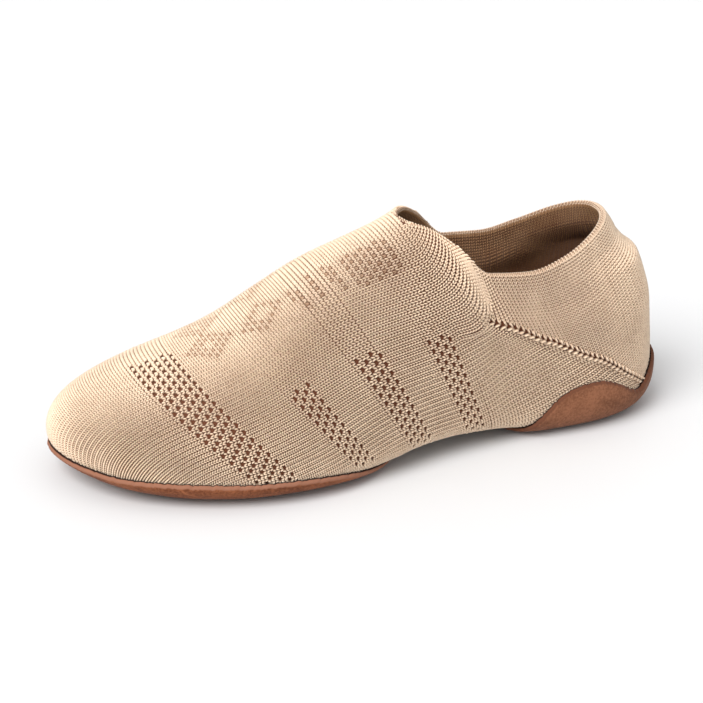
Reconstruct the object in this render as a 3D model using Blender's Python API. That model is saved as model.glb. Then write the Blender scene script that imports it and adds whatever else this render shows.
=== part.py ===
import bmesh
import bpy
import numpy as np
from mathutils import Vector

# A left knitted jazz shoe, empty and upright on its own split suede sole.
# X runs from heel to toe, Y to the outer side of the foot, Z up. All sizes are in metres.

# Named sizes of the whole shoe
LENGTH = 0.245
BALL_WIDTH = 0.090
HEIGHT = 0.0845
WALL = 0.0021
PATCH = 0.0020
GAP = 0.0005
INSOLE = 0.0015

# Centres that the lines of the surface turn about at the two ends, as shares of the length
HEEL_CENTRE = 0.14
TOE_CENTRE = 0.84
SPINE_TURN = -0.03

# The mouth: its ends as shares of the length, its half width, and how square its plan is. Near
# its front it is where the sides are cut at the height of its edge.
MOUTH_BACK = 0.092
MOUTH_FRONT = 0.435
MOUTH_HALF = 0.0255
MOUTH_SQUARE = 2.2

# The rolled rim is this much thicker outside and inside, over this height
RIM_OUT = 0.0004
RIM_IN = 0.0003
RIM_HIGH = 0.0042
# The neck under the rim is drawn in by this much behind
NECK = 0.0055

# Cross sections: flat share of the sole, squareness of the lower corner and of the upper side
FLAT_SHARE = 0.62
LOW_SQUARE = 2.6
HIGH_SQUARE = 2.08

# Widest outline in plan: share of the length, reach to the outer side, reach to the inner side
# (both as shares of the ball width)
PLAN = (
    (0.000, 0.000, 0.000),
    (0.022, 0.166, 0.158),
    (0.070, 0.284, 0.270),
    (0.150, 0.345, 0.328),
    (0.270, 0.352, 0.318),
    (0.390, 0.380, 0.335),
    (0.500, 0.452, 0.395),
    (0.610, 0.518, 0.465),
    (0.700, 0.522, 0.495),
    (0.780, 0.478, 0.498),
    (0.860, 0.392, 0.455),
    (0.930, 0.268, 0.380),
    (0.980, 0.090, 0.262),
    (1.000, -0.090, 0.090),
)

# Along the foot: share of the length, then as shares of the height the ridge of the instep, the
# widest level, the lift of the underside and its further lift at the inner side, and last the
# shift of the ridge to the inner side as a share of the ball width. Behind the mouth's front the
# ridge is only thought of: it is where the cut sides would meet.
SIDE = (
    (0.00, 1.250, 0.178, 0.002, 0.000, 0.00),
    (0.03, 1.250, 0.178, 0.000, 0.000, 0.00),
    (0.06, 1.250, 0.173, 0.000, 0.000, 0.00),
    (0.22, 1.250, 0.168, 0.000, 0.000, 0.00),
    (0.32, 1.220, 0.158, 0.032, 0.025, 0.02),
    (0.36, 1.150, 0.155, 0.040, 0.033, 0.03),
    (0.40, 1.070, 0.151, 0.044, 0.040, 0.038),
    (0.435, 1.000, 0.148, 0.043, 0.038, 0.042),
    (0.468, 0.953, 0.146, 0.036, 0.028, 0.045),
    (0.50, 0.915, 0.142, 0.020, 0.015, 0.05),
    (0.58, 0.818, 0.132, 0.000, 0.000, 0.06),
    (0.66, 0.684, 0.124, 0.000, 0.000, 0.06),
    (0.74, 0.558, 0.122, 0.000, 0.000, 0.05),
    (0.82, 0.490, 0.124, 0.010, 0.000, 0.04),
    (0.90, 0.445, 0.130, 0.034, 0.000, 0.03),
    (1.00, 0.407, 0.132, 0.082, 0.000, 0.02),
)

# Edge of the mouth: share of the mouth's length from the back, height as a share of the height
EDGE = (
    (0.00, 0.940),
    (0.12, 0.885),
    (0.30, 0.812),
    (0.48, 0.770),
    (0.66, 0.778),
    (0.84, 0.938),
    (0.93, 0.990),
    (1.00, 1.000),
)

# The forefoot patch laid flat: share of the length, reach to the outer and to the inner side
# along the knitted surface, as shares of the ball width
FORE_PATCH = (
    (0.468, 0.040, -0.040),
    (0.476, 0.180, 0.080),
    (0.500, 0.320, 0.185),
    (0.545, 0.430, 0.300),
    (0.605, 0.512, 0.400),
    (0.680, 0.540, 0.478),
    (0.760, 0.514, 0.512),
    (0.840, 0.438, 0.500),
    (0.910, 0.322, 0.432),
    (0.960, 0.178, 0.335),
    (0.990, 0.015, 0.205),
    (1.000, -0.090, 0.090),
)
FORE_CENTRE = 0.735

# The heel patch laid flat about the heel centre: turn from straight back in degrees, reach
# along the knitted surface as a share of the ball width. It has a tab up the back, a low
# corner, an ear up each side and a rounded front.
HEEL_PATCH = (
    (0.0, 0.530),
    (15.0, 0.520),
    (29.0, 0.482),
    (41.0, 0.418),
    (51.0, 0.385),
    (61.0, 0.395),
    (75.0, 0.440),
    (90.0, 0.482),
    (103.0, 0.498),
    (114.0, 0.490),
    (125.0, 0.466),
    (137.0, 0.448),
    (151.0, 0.460),
    (166.0, 0.480),
    (180.0, 0.488),
)

# The insole is this share of the widest outline
INSOLE_SHARE = 0.80


def clear_scene():
    """Remove every object that the scene starts with."""
    for item in list(bpy.data.objects):
        bpy.data.objects.remove(item, do_unlink=True)


def read_table(x, stations, values):
    """Smooth value at x from a short table, without overshoot between its rows."""
    xs = np.asarray(stations, float)
    ys = np.asarray(values, float)
    step = np.diff(xs)
    rise = np.diff(ys) / step
    total = rise[:-1] + rise[1:]
    slope = np.zeros(len(xs))
    same = rise[:-1] * rise[1:] > 0
    slope[1:-1] = np.where(same, 2 * rise[:-1] * rise[1:] / np.where(total == 0, 1, total), 0)
    slope[0] = rise[0]
    slope[-1] = rise[-1]
    x = np.clip(x, xs[0], xs[-1])
    k = np.clip(np.searchsorted(xs, x, side="right") - 1, 0, len(xs) - 2)
    t = (x - xs[k]) / step[k]
    value = (1 + 2 * t) * (1 - t) ** 2 * ys[k] + t * t * (3 - 2 * t) * ys[k + 1]
    return value + t * (1 - t) ** 2 * step[k] * slope[k] + t * t * (t - 1) * step[k] * slope[k + 1]


def soft_step(x):
    """0 below 0, 1 above 1, smooth between."""
    x = np.clip(x, 0, 1)
    return x * x * (3 - 2 * x)


def closed_curve(points, parts=12):
    """Smooth closed curve through the points, as parts steps for each."""
    pts = np.asarray(points, float)
    a, b, c, d = (np.roll(pts, shift, 0)[:, None] for shift in (1, 0, -1, -2))
    t = (np.arange(parts) / parts)[None, :, None]
    curve = 2 * b + (c - a) * t + (2 * a - 5 * b + 4 * c - d) * t**2 + (3 * b - a - 3 * c + d) * t**3
    return (curve / 2).reshape(-1, 2)


def two_sided(rows):
    """Closed curve from rows of share of the length, outer reach and inner reach."""
    rows = np.asarray(rows, float)
    outer = np.c_[rows[:, 0] * LENGTH, rows[:, 1] * BALL_WIDTH]
    inner = np.c_[rows[:, 0] * LENGTH, -rows[:, 2] * BALL_WIDTH]
    return closed_curve(np.vstack([outer, inner[1:-1][::-1]]))


HEEL_X = HEEL_CENTRE * LENGTH
TOE_X = TOE_CENTRE * LENGTH
PLAN_CURVE = two_sided(PLAN)
SIDE_ROWS = np.array(SIDE).T
EDGE_ROWS = np.array(EDGE).T


def spine(x):
    """Y of the middle of the sole at x. It turns a little inwards to the toe."""
    return SPINE_TURN * BALL_WIDTH * (x - HEEL_X) / (TOE_X - HEEL_X)


def mouth_curve():
    """The mouth in plan, a squared oval."""
    turn = np.linspace(0, 2 * np.pi, 400, endpoint=False)
    power = 2 / MOUTH_SQUARE
    middle = (MOUTH_FRONT + MOUTH_BACK) / 2 * LENGTH
    half = (MOUTH_FRONT - MOUTH_BACK) / 2 * LENGTH
    x = middle + half * np.sign(np.cos(turn)) * np.abs(np.cos(turn)) ** power
    y = MOUTH_HALF * np.sign(np.sin(turn)) * np.abs(np.sin(turn)) ** power
    return np.c_[x, y + spine(x)]


MOUTH_CURVE = mouth_curve()


def reach(curve, start, way):
    """How far each line runs from start along way to a closed curve, 0 where it misses."""
    here = curve[None] - start[:, None]
    there = np.roll(curve, -1, 0)[None] - start[:, None]
    off_here = here[..., 0] * way[:, None, 1] - here[..., 1] * way[:, None, 0]
    off_there = there[..., 0] * way[:, None, 1] - there[..., 1] * way[:, None, 0]
    crosses = (off_here <= 0) != (off_there <= 0)
    gap = np.where(crosses, off_here - off_there, 1)
    part = np.where(crosses, off_here / gap, 0)
    point = here + part[..., None] * (there - here)
    far = (point * way[:, None]).sum(-1)
    return np.where(crosses & (far > 0), far, 0).max(1)


def section(start, way, level):
    """Points of the knitted outer surface on each line's upright section.

    level runs 0 to 1 over the flat of the sole, 1 to 2 round its corner up to the widest
    line, and 2 to 3 up the side to the mouth or, past the mouth, to the ridge.
    """
    wide = reach(PLAN_CURVE, start, way)[:, None]
    mouth = reach(MOUTH_CURVE, start, way)[:, None]
    rim_x = start[:, :1] + way[:, :1] * mouth
    wide_x = start[:, :1] + way[:, :1] * wide
    low = read_table(wide_x / LENGTH, SIDE_ROWS[0], SIDE_ROWS[2]) * HEIGHT
    flat = FLAT_SHARE * wide
    turn = np.clip(level - 1, 0, 1) * np.pi / 2
    out = flat + (wide - flat) * np.sin(turn) ** (2 / LOW_SQUARE)
    out = np.where(level < 1, level * flat, out)
    rise = low * (1 - np.cos(turn) ** (2 / LOW_SQUARE))
    neck = np.where(mouth > 0, NECK * soft_step((0.22 - rim_x / LENGTH) / 0.14), 0)
    open_share = np.clip((mouth + neck) / wide, 0, 0.999)
    along = (rim_x / LENGTH - MOUTH_BACK) / (MOUTH_FRONT - MOUTH_BACK)
    edge = read_table(along, EDGE_ROWS[0], EDGE_ROWS[1]) * HEIGHT
    meet = read_table(start[:, :1] / LENGTH, SIDE_ROWS[0], SIDE_ROWS[1]) * HEIGHT
    cut = np.clip((edge - low) / (meet - low), 0, 1) ** HIGH_SQUARE
    near_front = soft_step((start[:, :1] / LENGTH - 0.31) / 0.06)
    open_share = np.where(mouth > 0, open_share + ((1 - cut) ** (1 / HIGH_SQUARE) - open_share) * near_front, 0)
    full = np.arccos(open_share ** (HIGH_SQUARE / 2))
    climb = np.clip(level - 2, 0, 1) * full
    share = np.sin(climb) ** (2 / HIGH_SQUARE) / np.sin(full) ** (2 / HIGH_SQUARE)
    side = wide * np.maximum(np.cos(climb), 0) ** (2 / HIGH_SQUARE)
    side = side - neck * soft_step((share - 0.72) / 0.15)
    out = np.where(level <= 2, out, side)
    x = start[:, :1] + way[:, :1] * out
    y = start[:, 1:] + way[:, 1:] * out
    ridge = read_table(x / LENGTH, SIDE_ROWS[0], SIDE_ROWS[1]) * HEIGHT
    top = np.where(mouth > 0, edge, ridge)
    z = np.where(level <= 2, rise, low + (top - low) * share)
    lift = read_table(x / LENGTH, SIDE_ROWS[0], SIDE_ROWS[3])
    inner = read_table(x / LENGTH, SIDE_ROWS[0], SIDE_ROWS[4])
    lift = lift + inner * soft_step((spine(x) - y) / (0.3 * BALL_WIDTH))
    z_lifted = z + lift * HEIGHT * np.clip(1 - z / (0.5 * HEIGHT), 0, 1) ** 1.5
    shift = read_table(x / LENGTH, SIDE_ROWS[0], SIDE_ROWS[5]) * BALL_WIDTH
    y = y - shift * np.clip((z - low) / (top - low), 0, 1) ** 1.5
    return np.stack([x, y, z_lifted], -1)


def line_loop(heel_steps, cross_xs, toe_steps):
    """Starts and ways of the section lines, once round: outer side, toe, inner side."""
    starts = []
    ways = []
    heel = (HEEL_X, spine(HEEL_X))
    toe = (TOE_X, spine(TOE_X))
    for turn in np.linspace(0, np.pi / 2, heel_steps + 1)[:-1]:
        starts.append(heel)
        ways.append((-np.cos(turn), np.sin(turn)))
    for x in cross_xs:
        starts.append((x, spine(x)))
        ways.append((0.0, 1.0))
    for turn in np.linspace(np.pi / 2, 0, toe_steps + 1)[1:]:
        starts.append(toe)
        ways.append((np.cos(turn), np.sin(turn)))
    outer = len(starts)
    for k in range(outer - 2, 0, -1):
        starts.append(starts[k])
        ways.append((ways[k][0], -ways[k][1]))
    return np.array(starts, float), np.array(ways, float)


def lay(flat_x, flat_y):
    """Points of the knitted outer surface under a pattern laid flat.

    A pattern point lies across from the spine, or out from the centre of the heel or toe. It
    goes to the same distance along the section there.
    """
    x = np.asarray(flat_x, float)
    y = np.asarray(flat_y, float)
    start_x = np.clip(x, HEEL_X, TOE_X)
    start = np.c_[start_x, spine(start_x)]
    way = np.c_[x, y] - start
    far = np.hypot(way[:, 0], way[:, 1])
    way = np.where(far[:, None] < 1e-7, (0.0, 1.0), way / np.maximum(far, 1e-7)[:, None])
    levels = np.r_[np.linspace(0, 1, 5)[:-1], np.linspace(1, 2, 60)[:-1], np.linspace(2, 2.6, 60)]
    rows = section(start, way, levels[None])
    steps = np.linalg.norm(np.diff(rows, axis=1), axis=2)
    run = np.c_[np.zeros(len(x)), np.cumsum(steps, 1)]
    points = np.zeros((len(x), 3))
    for k in range(len(x)):
        for axis in range(3):
            points[k, axis] = np.interp(far[k], run[k], rows[k, :, axis])
    return points


def sheet(grid):
    """Bmesh of a closed band of section lines, its doubled points joined, facing outwards."""
    count, rows = grid.shape[:2]
    bm = bmesh.new()
    verts = [[bm.verts.new(grid[i, j]) for j in range(rows)] for i in range(count)]
    for i in range(count):
        k = (i + 1) % count
        for j in range(rows - 1):
            bm.faces.new((verts[i][j], verts[k][j], verts[k][j + 1], verts[i][j + 1]))
    bmesh.ops.remove_doubles(bm, verts=bm.verts, dist=1e-6)
    bmesh.ops.dissolve_degenerate(bm, edges=bm.edges, dist=1e-7)
    bm.normal_update()
    below = [face for face in bm.faces if face.calc_center_median().z < 0.004]
    if sum(face.normal.z * face.calc_area() for face in below) > 0:
        bmesh.ops.reverse_faces(bm, faces=bm.faces[:])
        bm.normal_update()
    bm.verts.index_update()
    return bm


def thicken(bm, near, far, rim_steps=1):
    """Vertices and faces of a solid between two offsets of a sheet, with a closed edge.

    near and far hold an outward offset for each vertex. rim_steps above 1 rounds the edge.
    """
    count = len(bm.verts)
    points = [v.co.copy() for v in bm.verts]
    normals = [v.normal.copy() for v in bm.verts]
    verts = [p + n * f for p, n, f in zip(points, normals, far)]
    verts += [p + n * f for p, n, f in zip(points, normals, near)]
    faces = []
    for face in bm.faces:
        ring = [v.index for v in face.verts]
        faces.append(ring)
        faces.append([i + count for i in reversed(ring)])
    edge_loops = [loop for face in bm.faces for loop in face.loops if len(loop.edge.link_faces) == 1]
    outward = {}
    for loop in edge_loops:
        a = loop.vert.index
        b = loop.link_loop_next.vert.index
        side = (points[b] - points[a]).cross(normals[a] + normals[b]).normalized()
        for i in (a, b):
            outward[i] = outward.get(i, Vector((0, 0, 0))) + side
    steps = {}
    for i, way in outward.items():
        middle = (verts[i] + verts[i + count]) / 2
        half = (verts[i] - verts[i + count]) / 2
        bulge = way.normalized() * half.length
        chain = [i]
        for k in range(1, rim_steps):
            turn = np.pi * k / rim_steps
            verts.append(middle + half * np.cos(turn) + bulge * np.sin(turn))
            chain.append(len(verts) - 1)
        chain.append(i + count)
        steps[i] = chain
    for loop in edge_loops:
        one = steps[loop.vert.index]
        two = steps[loop.link_loop_next.vert.index]
        for k in range(rim_steps):
            faces.append([two[k], one[k], one[k + 1], two[k + 1]])
    return verts, faces


def add_piece(name, verts, faces, colour, roughness):
    """One named closed piece with its own material, smooth shaded."""
    mesh = bpy.data.meshes.new(name)
    mesh.from_pydata([tuple(v) for v in verts], [], faces)
    mesh.update()
    mesh.polygons.foreach_set("use_smooth", [True] * len(mesh.polygons))
    paint = bpy.data.materials.new(name)
    paint.use_nodes = True
    shader = paint.node_tree.nodes["Principled BSDF"]
    shader.inputs["Base Color"].default_value = (*colour, 1.0)
    shader.inputs["Roughness"].default_value = roughness
    mesh.materials.append(paint)
    piece = bpy.data.objects.new(name, mesh)
    bpy.context.scene.collection.objects.link(piece)
    return piece


def build_upper():
    """The knitted upper: one hollow piece, open at the mouth and closed under the arch."""
    front = MOUTH_FRONT * LENGTH
    behind = front - (front - HEEL_X) * np.linspace(1, 0, 13) ** 1.6
    ahead = front + (TOE_X - front) * np.linspace(0, 1, 13) ** 1.6
    start, way = line_loop(8, np.r_[behind[:-1], ahead], 8)
    low = np.linspace(0, 1, 4)[:-1]
    corner = np.linspace(1, 2, 7)[:-1]
    high = np.r_[np.linspace(2, 2.9, 9), 2.935, 2.96, 3.0]
    grid = section(start, way, np.r_[low, corner, high][None])
    bm = sheet(grid)
    rim = np.array([v.co[:] for v in bm.verts if v.is_boundary])
    points = np.array([v.co[:] for v in bm.verts])
    away = np.linalg.norm(points[:, None] - rim[None], axis=2).min(1)
    bead = soft_step((RIM_HIGH - away) / 0.0014)
    verts, faces = thicken(bm, -WALL - RIM_IN * bead, RIM_OUT * bead, rim_steps=4)
    bm.free()
    return add_piece("upper", verts, faces, (0.70, 0.53, 0.37), 0.9)


def patch_solid(name, curve, centre, shares, near, far, colour, roughness):
    """A patch cut to a flat closed curve and laid on the knitted surface between two offsets.

    Its rings lie at the given shares from the centre, closer together where the surface bends.
    """
    shares = np.asarray(shares, float)
    flat = centre + shares[None, :, None] * (curve[:, None] - centre)
    laid = lay(flat[..., 0].ravel(), flat[..., 1].ravel()).reshape(*flat.shape[:2], 3)
    bm = sheet(laid)
    count = len(bm.verts)
    verts, faces = thicken(bm, np.full(count, near), np.full(count, far))
    bm.free()
    return add_piece(name, verts, faces, colour, roughness)


def even_curve(curve, count):
    """The closed curve again, as count points at even steps along it."""
    around = np.vstack([curve, curve[:1]])
    run = np.r_[0, np.cumsum(np.linalg.norm(np.diff(around, axis=0), axis=1))]
    steps = np.linspace(0, run[-1], count, endpoint=False)
    return np.c_[np.interp(steps, run, around[:, 0]), np.interp(steps, run, around[:, 1])]


def build_forefoot():
    """The suede patch under the ball and toes."""
    centre = np.array([FORE_CENTRE * LENGTH, spine(FORE_CENTRE * LENGTH)])
    curve = even_curve(two_sided(FORE_PATCH), 54)
    rings = (0, 0.30, 0.50, 0.64, 0.74, 0.83, 0.92, 1)
    return patch_solid("forefoot_outsole", curve, centre, rings, GAP, GAP + PATCH, (0.36, 0.17, 0.09), 0.95)


def build_heel():
    """The suede cup under the heel, with an ear up each side and a tab up the back."""
    rows = np.array(HEEL_PATCH)
    turns = np.radians(np.r_[rows[:, 0], -rows[1:-1, 0][::-1]])
    far = np.r_[rows[:, 1], rows[1:-1, 1][::-1]] * BALL_WIDTH
    centre = np.array([HEEL_X, spine(HEEL_X)])
    corners = centre + np.c_[-np.cos(turns), np.sin(turns)] * far[:, None]
    curve = even_curve(closed_curve(corners), 56)
    rings = (0, 0.28, 0.42, 0.51, 0.59, 0.67, 0.75, 0.83, 0.91, 1)
    return patch_solid("heel_outsole", curve, centre, rings, GAP, GAP + PATCH, (0.42, 0.20, 0.11), 0.95)


def build_insole():
    """The thin sock lining that lies on the knit in the foot."""
    start, way = line_loop(5, np.linspace(HEEL_X, TOE_X, 15), 5)
    far = reach(PLAN_CURVE, start, way) * INSOLE_SHARE
    flat = start[:, None] + way[:, None] * (far[:, None] * np.linspace(0, 1, 5)[None])[..., None]
    laid = lay(flat[..., 0].ravel(), flat[..., 1].ravel()).reshape(*flat.shape[:2], 3)
    bm = sheet(laid)
    count = len(bm.verts)
    near = np.full(count, -WALL - GAP - INSOLE)
    verts, faces = thicken(bm, near, np.full(count, -WALL - GAP))
    bm.free()
    return add_piece("insole", verts, faces, (0.45, 0.33, 0.23), 0.9)


def stand_on_floor(pieces):
    """Move all pieces so that their box stands on the floor with its middle over the origin."""
    points = np.vstack([np.array([v.co[:] for v in piece.data.vertices]) for piece in pieces])
    low = points.min(0)
    high = points.max(0)
    move = Vector((-(low[0] + high[0]) / 2, -(low[1] + high[1]) / 2, -low[2]))
    for piece in pieces:
        for vertex in piece.data.vertices:
            vertex.co += move
        piece.data.update()


clear_scene()
stand_on_floor([build_upper(), build_forefoot(), build_heel(), build_insole()])
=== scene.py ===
import logging
from dataclasses import dataclass, field
from enum import Enum

import bpy
import numpy as np
from mathutils import Matrix, Vector


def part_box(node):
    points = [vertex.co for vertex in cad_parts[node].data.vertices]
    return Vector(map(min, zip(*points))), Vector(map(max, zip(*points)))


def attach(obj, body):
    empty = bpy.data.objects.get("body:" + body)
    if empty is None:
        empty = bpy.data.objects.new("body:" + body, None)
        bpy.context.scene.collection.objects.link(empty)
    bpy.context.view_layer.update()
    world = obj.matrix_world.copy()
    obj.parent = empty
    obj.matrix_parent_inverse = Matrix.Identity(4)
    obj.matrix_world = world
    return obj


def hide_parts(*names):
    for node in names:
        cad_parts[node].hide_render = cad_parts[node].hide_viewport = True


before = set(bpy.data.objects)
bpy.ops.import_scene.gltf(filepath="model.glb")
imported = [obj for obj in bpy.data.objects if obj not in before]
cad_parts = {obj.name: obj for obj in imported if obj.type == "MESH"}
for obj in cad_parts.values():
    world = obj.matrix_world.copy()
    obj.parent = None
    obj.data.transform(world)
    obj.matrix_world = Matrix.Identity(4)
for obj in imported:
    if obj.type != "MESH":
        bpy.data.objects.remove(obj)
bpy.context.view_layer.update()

log = logging.getLogger("jazz_shoe")

# Widest outline in plan: share of the length, reach to the outer side, reach to the inner side
PLAN = (
    (0.000, 0.000, 0.000),
    (0.022, 0.166, 0.158),
    (0.070, 0.284, 0.270),
    (0.150, 0.345, 0.328),
    (0.270, 0.352, 0.318),
    (0.390, 0.380, 0.335),
    (0.500, 0.452, 0.395),
    (0.610, 0.518, 0.465),
    (0.700, 0.522, 0.495),
    (0.780, 0.478, 0.498),
    (0.860, 0.392, 0.455),
    (0.930, 0.268, 0.380),
    (0.980, 0.090, 0.262),
    (1.000, -0.090, 0.090),
)

# Side of the surface: share of the length, then heights of the ridge and of the widest level,
# lift of the sole, more lift on the inner side, and shift of the ridge to the inner side
SIDE_COLUMNS = ("station", "ridge", "widest", "lift", "inner_lift", "ridge_shift")
SIDE = (
    (0.00, 1.250, 0.178, 0.002, 0.000, 0.00),
    (0.03, 1.250, 0.178, 0.000, 0.000, 0.00),
    (0.06, 1.250, 0.173, 0.000, 0.000, 0.00),
    (0.22, 1.250, 0.168, 0.000, 0.000, 0.00),
    (0.32, 1.220, 0.158, 0.032, 0.025, 0.02),
    (0.36, 1.150, 0.155, 0.040, 0.033, 0.03),
    (0.40, 1.070, 0.151, 0.044, 0.040, 0.038),
    (0.435, 1.000, 0.148, 0.043, 0.038, 0.042),
    (0.468, 0.953, 0.146, 0.036, 0.028, 0.045),
    (0.50, 0.915, 0.142, 0.020, 0.015, 0.05),
    (0.58, 0.818, 0.132, 0.000, 0.000, 0.06),
    (0.66, 0.684, 0.124, 0.000, 0.000, 0.06),
    (0.74, 0.558, 0.122, 0.000, 0.000, 0.05),
    (0.82, 0.490, 0.124, 0.010, 0.000, 0.04),
    (0.90, 0.445, 0.130, 0.034, 0.000, 0.03),
    (1.00, 0.407, 0.132, 0.082, 0.000, 0.02),
)

# Edge of the mouth: share of its length from the back, height as a share of the height
EDGE = (
    (0.00, 0.940),
    (0.12, 0.885),
    (0.30, 0.812),
    (0.48, 0.770),
    (0.66, 0.778),
    (0.84, 0.938),
    (0.93, 0.990),
    (1.00, 1.000),
)

# The forefoot patch laid flat: share of the length, reach to the outer and to the inner side
FORE_PATCH = (
    (0.468, 0.040, -0.040),
    (0.476, 0.180, 0.080),
    (0.500, 0.320, 0.185),
    (0.545, 0.430, 0.300),
    (0.605, 0.512, 0.400),
    (0.680, 0.540, 0.478),
    (0.760, 0.514, 0.512),
    (0.840, 0.438, 0.500),
    (0.910, 0.322, 0.432),
    (0.960, 0.178, 0.335),
    (0.990, 0.015, 0.205),
    (1.000, -0.090, 0.090),
)

# The heel patch laid flat: turn from straight back in degrees, reach from the heel centre
HEEL_PATCH = (
    (0.0, 0.506),
    (15.0, 0.494),
    (29.0, 0.462),
    (41.0, 0.418),
    (51.0, 0.385),
    (61.0, 0.395),
    (75.0, 0.440),
    (90.0, 0.482),
    (103.0, 0.498),
    (114.0, 0.490),
    (125.0, 0.466),
    (137.0, 0.448),
    (151.0, 0.460),
    (166.0, 0.480),
    (180.0, 0.488),
)


class Side(float, Enum):
    """The two sides of the shoe, each with the sign of its Y."""

    OUTER = 1.0
    INNER = -1.0


class Slot(Enum):
    """Material slots of the record."""

    KNIT = "knit"
    FORE = "forefoot_suede"
    HEEL = "heel_suede"
    LINING = "lining"


def read_table(x: np.ndarray, stations: np.ndarray, values: np.ndarray) -> np.ndarray:
    """Smooth value at x from a short table, a cubic per row without overshoot.

    Args:
        x: places to read at.
        stations: places of the rows, rising.
        values: value of each row.

    Returns:
        The values at x, with x held inside the table.
    """
    step = np.diff(stations)
    rise = np.diff(values) / step
    total = rise[:-1] + rise[1:]
    slope = np.zeros(len(stations))
    same = rise[:-1] * rise[1:] > 0
    slope[1:-1] = np.where(same, 2 * rise[:-1] * rise[1:] / np.where(total == 0, 1, total), 0)
    slope[0] = rise[0]
    slope[-1] = rise[-1]
    x = np.clip(x, stations[0], stations[-1])
    k = np.clip(np.searchsorted(stations, x, side="right") - 1, 0, len(stations) - 2)
    t = (x - stations[k]) / step[k]
    value = (1 + 2 * t) * (1 - t) ** 2 * values[k] + t * t * (3 - 2 * t) * values[k + 1]
    value += t * (1 - t) ** 2 * step[k] * slope[k]
    return value + t * t * (t - 1) * step[k] * slope[k + 1]


def soft_step(x: np.ndarray) -> np.ndarray:
    """0 below 0, 1 above 1, and 3x^2 - 2x^3 between."""
    x = np.clip(x, 0, 1)
    return x * x * (3 - 2 * x)


def closed_curve(points: np.ndarray, parts: int = 24) -> np.ndarray:
    """Smooth closed curve through points, one cubic between each two.

    Args:
        points: corners, one row each.
        parts: steps of each cubic.

    Returns:
        The curve's points, parts for each corner.
    """
    pts = np.asarray(points, float)
    a, b, c, d = (np.roll(pts, shift, 0)[:, None] for shift in (1, 0, -1, -2))
    t = (np.arange(parts) / parts)[None, :, None]
    curve = 2 * b + (c - a) * t + (2 * a - 5 * b + 4 * c - d) * t**2
    curve = curve + (3 * b - a - 3 * c + d) * t**3
    return (curve / 2).reshape(-1, 2)


def even_curve(curve: np.ndarray, count: int) -> np.ndarray:
    """The closed curve again, read at even steps of the distance run along it.

    Args:
        curve: points of the closed curve.
        count: how many points to read.

    Returns:
        The points, one row each.
    """
    around = np.vstack([curve, curve[:1]])
    run = np.r_[0, np.cumsum(np.linalg.norm(np.diff(around, axis=0), axis=1))]
    steps = np.linspace(0, run[-1], count, endpoint=False)
    return np.c_[np.interp(steps, run, around[:, 0]), np.interp(steps, run, around[:, 1])]


def reach(curve: np.ndarray, start: np.ndarray, way: np.ndarray) -> np.ndarray:
    """How far each line runs from start along way to a closed curve.

    Args:
        curve: points of the closed curve in plan.
        start: start of each line.
        way: unit direction of each line.

    Returns:
        The farthest crossing's distance, 0 where a line misses the curve.
    """
    here = curve[None] - start[:, None]
    there = np.roll(curve, -1, 0)[None] - start[:, None]
    off_here = here[..., 0] * way[:, None, 1] - here[..., 1] * way[:, None, 0]
    off_there = there[..., 0] * way[:, None, 1] - there[..., 1] * way[:, None, 0]
    crosses = (off_here <= 0) != (off_there <= 0)
    gap = np.where(crosses, off_here - off_there, 1)
    part = np.where(crosses, off_here / gap, 0)
    point = here + part[..., None] * (there - here)
    far = (point * way[:, None]).sum(-1)
    return np.where(crosses & (far > 0), far, 0).max(1)


def unit(v: np.ndarray) -> np.ndarray:
    """Each row of v at length 1."""
    return v / np.maximum(np.linalg.norm(v, axis=-1, keepdims=True), 1e-12)


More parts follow.
